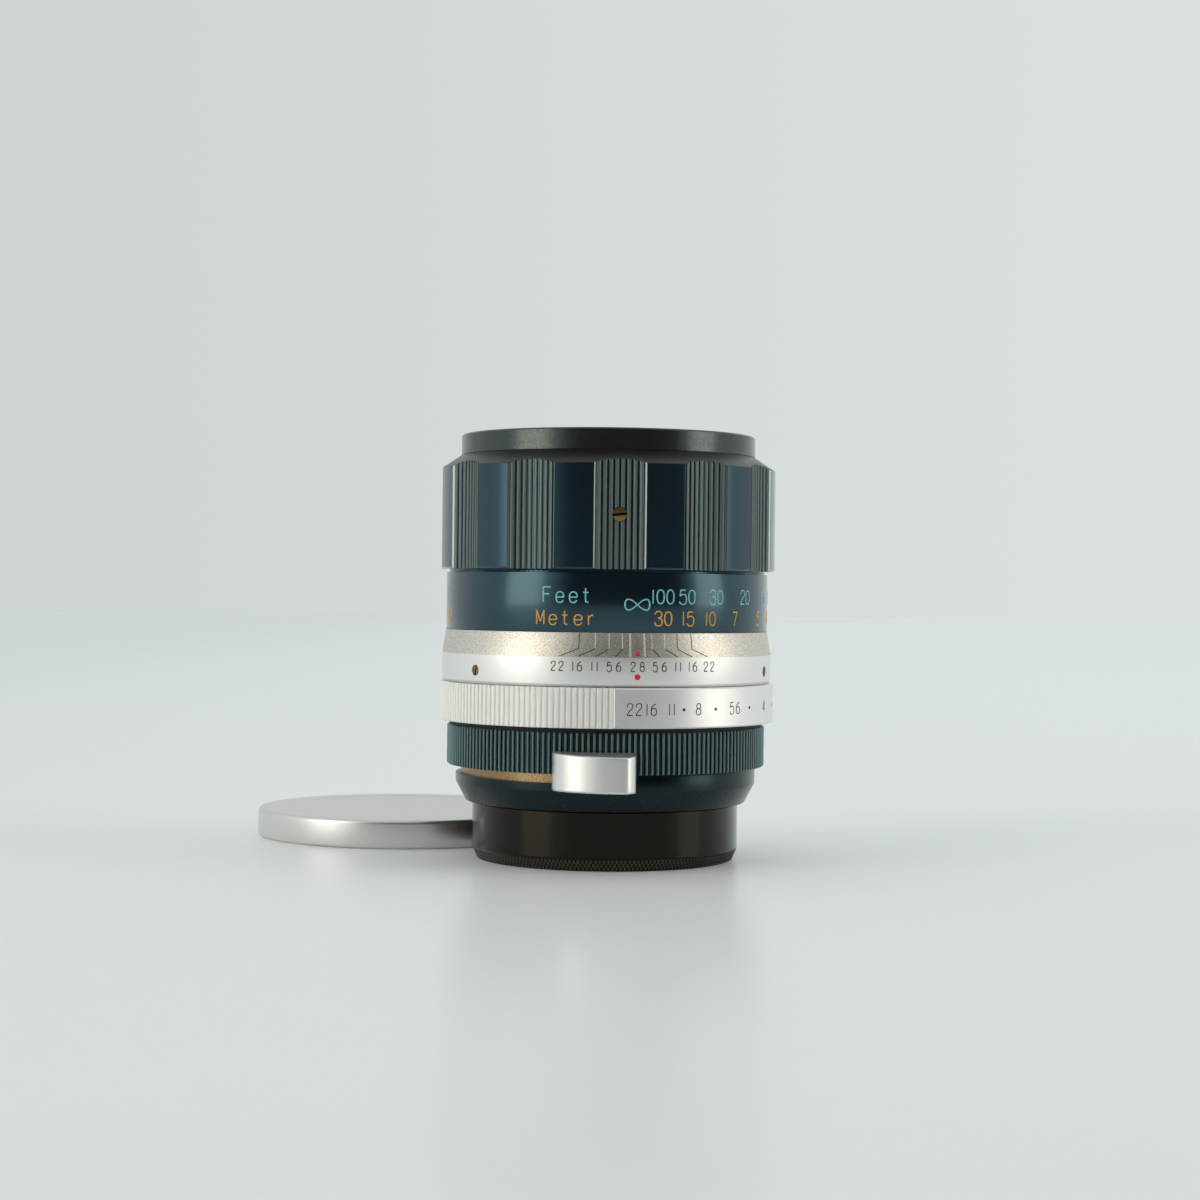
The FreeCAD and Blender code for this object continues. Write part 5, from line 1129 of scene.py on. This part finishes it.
def paint_marks(marks, name, body, material):
    """Joins marks into one piece of paint that rides on a body."""
    piece = join(marks, name)
    bpy.ops.object.shade_smooth_by_angle(angle=math.radians(40))
    piece.data.materials.clear()
    piece.data.materials.append(material)
    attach(piece, body)
    print(name, len(marks), "marks")


triangle = dot("index_triangle", 0, LINE_FOOT + 0.4, 0.62, cone, 0.05, 3)
index_dot = dot("index_dot", 0, 33.0, 0.5, cone, 0.03, 32)
paint_marks([triangle, index_dot], "index_marks", "lens_body", red_paint)

# %% [markdown]
# ## Aperture numbers
#
# The aperture ring clicks at whole stops, with a number each, and at half stops, with a dot between. Equal steps of
# light aren't equal turns of this iris, so the azimuths are written down as they are engraved and don't follow from
# a rule. The strokes are thinner than on the sleeve and are sunk in the same way.

# %% Aperture numbers
APERTURE_NUMBERS = (("22", -1.1), ("16", 4.5), ("11", 11.5), ("8", 21.3), ("56", 37.3), ("4", 56.9), ("28", 82))
APERTURE_DOTS = (15.8, 28.3, 45.6, 69)


def aperture_side(height):
    """The aperture ring's radius, the same at every height."""
    return APERTURE_RADIUS


aperture_paths = []
for text, azimuth in APERTURE_NUMBERS:
    aperture_paths += word(text, azimuth, 26.7, 1.9, 0.88, 0.7 if text in WITH_POINT else 0.55)
engrave("aperture_numbers", aperture_paths, aperture_side, 0.23, "aperture_ring", dark_paint)
paint_marks([dot("stop_dot", azimuth, 27.6, 0.27, aperture_side, 0.03, 20) for azimuth in APERTURE_DOTS],
            "half_stop_dots", "aperture_ring", dark_paint)

# %% [markdown]
# ## Glass, blades and the hidden pieces
#
# Looked at from the front the glasses show a faint purple and amber bloom, which is a coating a fraction of a
# wavelength thick. A tinted glass would have the same colour from all sides, and Principled's thin film works the
# colour out from the coating's thickness and the angle, as light does. The CAD solids for glasses, blades and the
# inner rings have the right shape already, so they keep it and only get their finishes.

# %% Glass
def coated_glass(name, film):
    """Polished optical glass with a single-layer coating, so many nanometres thick."""
    material = new_material(name)
    surface = add_node(material, "ShaderNodeBsdfPrincipled",
                       {"Base Color": hex_colour("#F6F8FA"), "Roughness": 0.0, "Transmission Weight": 1.0,
                        "IOR": 1.6, "Thin Film Thickness": film, "Thin Film IOR": 1.38})
    add_node(material, "ShaderNodeOutputMaterial", {"Surface": surface.outputs[0]})
    return material


# Magnesium fluoride on polished glass: a thinner film reflects amber and a thicker one purple.
amber_glass = coated_glass("amber_coated_glass", 110.0)
purple_glass = coated_glass("purple_coated_glass", 145.0)
print("glasses coated")

# %% [markdown]
# ### Steel and felt
#
# What little shows of the inside is steel, brass or dull black. One material could do for all of it, but the iris
# is looked at through the front glass, and its blued blades are what makes it look like one.

# %% Finishes of the CAD nodes
# Spring steel blued by heat: nearly black, with a soft steely sheen from rolling.
blued_steel = worked_metal("blued_spring_steel", "#34363C", 0.35, lines=0.3, line_depth=0.0002)
# Steel turned and left bare: grey, with fairly sharp highlights.
plain_steel = worked_metal("turned_steel", "#A9A9A6", 0.3)
# Pressed wool felt, dyed black: it scatters light and has no highlight.
felt = paint("black_felt", "#121212", 0.95)
FINISHES = {
    "front_barrel": rim_black, "name_ring": rim_black, "lever_tab": lever_silver, "lever_ring": turned_brass,
    "focus_nut": turned_brass, "focus_retainer": turned_brass, "aperture_fork": turned_brass,
    "camera_thread": plain_steel, "mount_screws": plain_steel, "diaphragm_pin": plain_steel,
    "pin_spring": plain_steel, "click_ball": plain_steel, "click_spring": plain_steel,
    "iris_cam_ring": blued_steel, "front_element": purple_glass, "second_element": amber_glass,
    "third_element": purple_glass, "rear_doublet_front": amber_glass, "rear_doublet_back": purple_glass,
    "front_cap_felt": felt,
}
for name, node in nodes.items():
    chosen = blued_steel if name.startswith("iris_blade") else FINISHES.get(name, inner_black)
    node.data.materials.clear()
    node.data.materials.append(chosen)
print(len(nodes), "CAD nodes finished")

# %% [markdown]
# ### The flange's rim, painted with shade
#
# The steel flange lies between the base and the rear cap, and shade falls on its rim in the joint. That shade is
# painted: the rim is near black, or the joint would show as a bright line. The rim could be a piece of its own, but a
# mask by radius inside the material is enough: steel up to 22.4 mm from the axis, painted shade from 22.6 mm on.

# %% Steel with its rim painted as shade
RIM_SHADE_FROM, RIM_SHADE_TO = 22.4, 22.6
# Turned steel, bare grey inside; its rim is painted near black as the joint's shade, so no highlight shows there.
flange_steel = worked_metal("turned_steel_with_painted_shade_rim", "#A9A9A6", 0.3)
flange_surface = flange_steel.node_tree.nodes["Principled BSDF"]
steel_tint = flange_surface.inputs["Base Color"].links[0].from_socket
flange_place = add_node(flange_steel, "ShaderNodeTexCoord").outputs["Object"]
flange_flat = add_node(flange_steel, "ShaderNodeVectorMath", {0: flange_place, 1: (1, 1, 0)}, operation="MULTIPLY")
flange_reach = add_node(flange_steel, "ShaderNodeVectorMath", {0: flange_flat.outputs[0]}, operation="LENGTH")
past_rim = add_node(flange_steel, "ShaderNodeMapRange",
                    {"Value": flange_reach.outputs["Value"], "From Min": RIM_SHADE_FROM * MM,
                     "From Max": RIM_SHADE_TO * MM}).outputs[0]
# Near black past the rim's radius: painted shade.
painted_shade = add_node(flange_steel, "ShaderNodeMix", {"Factor": past_rim, "A": steel_tint}, data_type="RGBA")
painted_shade.inputs["B"].default_value = hex_colour("#0C0C0C")
flange_steel.node_tree.links.new(painted_shade.outputs["Result"], flange_surface.inputs["Base Color"])
nodes["camera_thread"].data.materials[0] = flange_steel
print("flange rim blacked from", RIM_SHADE_FROM, "mm")

# %% [markdown]
# ## The pin's spring
#
# The sprung pin at the rear is held out by a coil of round wire. The coil's foot moves with the pin and its top
# stays against the light trap, so the real coil squashes towards its foot as the pin goes in. The piece rides on the
# pin. The CAD coil can't be squashed while it is part of a rigid body, so a new one takes its place: a ring of wire
# that Blender's Screw modifier winds up.

# %% Pin spring
COIL_RADIUS, COIL_PITCH, WIRE_RADIUS, PIN_TRAVEL = 1.5, 2.1, 0.19, 3.0
spring_low, spring_high = (Vector(corner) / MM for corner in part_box("pin_spring"))
coil_height = spring_high.z - spring_low.z - 2 * WIRE_RADIUS
coil_turns = math.ceil(coil_height / COIL_PITCH)
bpy.ops.object.select_all(action="DESELECT")
bpy.ops.mesh.primitive_circle_add(vertices=10, radius=WIRE_RADIUS * MM, location=(COIL_RADIUS * MM, 0, 0),
                                  rotation=(math.pi / 2, 0, 0))
pin_spring = bpy.context.object
pin_spring.name = pin_spring.data.name = "coiled_pin_spring"
bpy.ops.object.transform_apply()
winding = pin_spring.modifiers.new("winding", "SCREW")
winding.iterations, winding.steps, winding.render_steps = coil_turns, 32, 32
winding.angle = math.tau * coil_height / COIL_PITCH / coil_turns
winding.screw_offset = coil_height * MM / coil_turns
bpy.ops.object.modifier_apply(modifier=winding.name)
close_ends(pin_spring)
spring_middle = (spring_low + spring_high) / 2
pin_spring.data.transform(Matrix.Translation((spring_middle.x * MM, spring_middle.y * MM,
                                              (spring_low.z + WIRE_RADIUS) * MM)))
finish_piece(pin_spring, "diaphragm_pin", plain_steel, "pin_spring")
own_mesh(pin_spring)

# %% [markdown]
# ## Table and light
#
# The lens stands on a pale glossy sheet inside a light tent. Metal shows what stands round it, so the tent is as
# much a part of the look as the metal: pale all round, with an opening behind the camera that keeps the middle of
# every ring dark, and two warmer lamps at the sides. Area lamps could stand in for it, but they leave metal black
# between them, and a tent lights it from everywhere.
#
# The sheet looks a little brighter towards the right. It glows faintly there, for camera, glossy and transmitted
# rays only, so that metal and glass show it too and the object gets no more light from it.

# %% Floor
FLOOR_GRAIN = 1.5
GLOW_FROM, GLOW_TO, GLOW_LEVEL = -350, -50, 0.055
# Coated card: a satin surface that blurs the cap's mirror image and lets it fade with distance. Its real grain is
# finer than a pixel, and 1.5 mm is drawn so that the blur varies a little. Its coat is thin, so the mirror image is
# faint, and the IOR is below that of a solid plastic.
floor_material = new_material("satin_pale_sheet")
floor_fine = grain(floor_material, FLOOR_GRAIN)
floor_roughness = add_node(floor_material, "ShaderNodeMapRange",
                           {"Value": floor_fine, "To Min": 0.2, "To Max": 0.26}).outputs[0]
rays = add_node(floor_material, "ShaderNodeLightPath").outputs
straight_seen = add_node(floor_material, "ShaderNodeMath", {0: rays["Is Camera Ray"], 1: rays["Is Glossy Ray"]},
                         operation="MAXIMUM").outputs[0]
seen = add_node(floor_material, "ShaderNodeMath", {0: straight_seen, 1: rays["Is Transmission Ray"]},
                operation="MAXIMUM").outputs[0]
floor_place = add_node(floor_material, "ShaderNodeTexCoord").outputs["Object"]
sideways = add_node(floor_material, "ShaderNodeVectorMath",
                    {0: floor_place, 1: (math.cos(CAMERA_AZIMUTH), math.sin(CAMERA_AZIMUTH), 0)},
                    operation="DOT_PRODUCT").outputs["Value"]
glow = add_node(floor_material, "ShaderNodeMapRange",
                {"Value": sideways, "From Min": GLOW_FROM * MM, "From Max": GLOW_TO * MM, "To Min": 0.0,
                 "To Max": GLOW_LEVEL}).outputs[0]
seen_glow = add_node(floor_material, "ShaderNodeMath", {0: seen, 1: glow}, operation="MULTIPLY").outputs[0]
floor_surface = add_node(floor_material, "ShaderNodeBsdfPrincipled",
                         {"Base Color": hex_colour("#F7FAFA"), "Roughness": floor_roughness, "IOR": 1.12,
                          "Emission Color": hex_colour("#E9EFF0"), "Emission Strength": seen_glow})
add_node(floor_material, "ShaderNodeOutputMaterial", {"Surface": floor_surface.outputs[0]})
bpy.ops.mesh.primitive_plane_add(size=8, location=(0, 0, 0))
floor = bpy.context.object
floor.name = "floor"
floor.data.materials.append(floor_material)
print("floor laid, its mirror image as of IOR", floor_surface.inputs["IOR"].default_value)

# %% [markdown]
# ### The tent all round
#
# The world is the tent's back and top. A sphere of cloth could be modelled, but the world gives the same light
# without any mesh. It is a little dimmer on the left, as the photograph's backdrop is.

# %% World
TENT_LEVEL, TENT_LEFT_LEVEL = 0.86, 0.76
world = bpy.data.worlds.new("light_tent")
bpy.context.scene.world = world
world.use_nodes = True
world.node_tree.nodes.clear()
sky_direction = add_node(world, "ShaderNodeTexCoord").outputs["Generated"]
rightwards = add_node(world, "ShaderNodeVectorMath",
                      {0: sky_direction, 1: (math.cos(CAMERA_AZIMUTH), math.sin(CAMERA_AZIMUTH), 0)},
                      operation="DOT_PRODUCT").outputs["Value"]
sky_level = add_node(world, "ShaderNodeMapRange",
                     {"Value": rightwards, "From Min": -0.25, "From Max": 0.2, "To Min": TENT_LEFT_LEVEL,
                      "To Max": TENT_LEVEL}).outputs[0]
sky = add_node(world, "ShaderNodeBackground", {"Color": hex_colour("#E9EFF0"), "Strength": sky_level})
add_node(world, "ShaderNodeOutputWorld", {"Surface": sky.outputs[0]})
print("world from", TENT_LEFT_LEVEL, "on the left to", TENT_LEVEL, "on the right")

# %% [markdown]
# ### The front screen
#
# The front half of the tent is a curved screen that the camera doesn't see and reflections do. Separate lamp
# objects would have hard edges in the metal, so the two lamps and the dark opening are parts of the screen's own
# light, each fading out smoothly over so many degrees. Their levels are kept down until silver doesn't clip.

# %% A band of the screen
SCREEN_RADIUS, SCREEN_HEIGHT, SCREEN_HALF = 1200, 1500, 125


def band(material, direction, azimuth, inner, outer):
    """1 within so many degrees of an azimuth counted from the camera, falling smoothly to 0."""
    angle = CAMERA_AZIMUTH + math.radians(azimuth)
    along = add_node(material, "ShaderNodeVectorMath", {0: direction, 1: (math.sin(angle), -math.cos(angle), 0)},
                     operation="DOT_PRODUCT").outputs["Value"]
    return add_node(material, "ShaderNodeMapRange",
                    {"Value": along, "From Min": math.cos(math.radians(outer)),
                     "From Max": math.cos(math.radians(inner))}, interpolation_type="SMOOTHSTEP").outputs[0]


print("screen", SCREEN_RADIUS, "mm away, round to", SCREEN_HALF, "degrees on both sides")

# %% The front screen
LEFT_LAMP, RIGHT_LAMP, LAMP_FADES_FROM, LAMP_ENDS_AT = 2.1, 1.85, 700, 1300
OPENING_LEVEL = 0.11
screen = stretch("front_screen", [(azimuth, 0) for azimuth in every(5, -SCREEN_HALF, SCREEN_HALF)],
                 [fixed(SCREEN_RADIUS, height) for height in (1, 300, 600, 900, 1200, SCREEN_HEIGHT)])
screen.data.transform(Matrix.Rotation(CAMERA_AZIMUTH, 4, "Z"))
# Thin white cloth lit from outside: an even glow without any shine, cool where daylight comes through and warm at
# the lamps. A band is given by its azimuth, by the half width of its full part and by where it has faded out.
screen_light = new_material("tent_cloth_and_opening")
place = add_node(screen_light, "ShaderNodeTexCoord").outputs["Object"]
level_place = add_node(screen_light, "ShaderNodeVectorMath", {0: place, 1: (1, 1, 0)},
                       operation="MULTIPLY").outputs[0]
direction = add_node(screen_light, "ShaderNodeVectorMath", {0: level_place}, operation="NORMALIZE").outputs[0]
opening = band(screen_light, direction, 12.5, 36, 56)
cloth = add_node(screen_light, "ShaderNodeMapRange",
                 {"Value": opening, "To Min": TENT_LEVEL, "To Max": OPENING_LEVEL}).outputs[0]
left_lamp = add_node(screen_light, "ShaderNodeMath", {0: band(screen_light, direction, -60, 8, 18), 1: LEFT_LAMP},
                     operation="MULTIPLY").outputs[0]
both_lamps = add_node(screen_light, "ShaderNodeMath",
                      {0: band(screen_light, direction, 77, 6, 15), 1: RIGHT_LAMP, 2: left_lamp},
                      operation="MULTIPLY_ADD").outputs[0]
height = add_node(screen_light, "ShaderNodeSeparateXYZ", {0: place}).outputs["Z"]
lamp_top = add_node(screen_light, "ShaderNodeMapRange",
                    {"Value": height, "From Min": LAMP_ENDS_AT * MM, "From Max": LAMP_FADES_FROM * MM},
                    interpolation_type="SMOOTHSTEP").outputs[0]
lamps = add_node(screen_light, "ShaderNodeMath", {0: both_lamps, 1: lamp_top}, operation="MULTIPLY").outputs[0]
cold = add_node(screen_light, "ShaderNodeEmission", {"Color": hex_colour("#E9EFF0"), "Strength": cloth}).outputs[0]
warm = add_node(screen_light, "ShaderNodeEmission", {"Color": hex_colour("#FFF6E6"), "Strength": lamps}).outputs[0]
both = add_node(screen_light, "ShaderNodeAddShader", {0: cold, 1: warm}).outputs[0]
add_node(screen_light, "ShaderNodeOutputMaterial", {"Surface": both})
screen.data.materials.append(screen_light)
screen.visible_camera = False
print("screen hung,", len(screen.data.polygons), "faces")
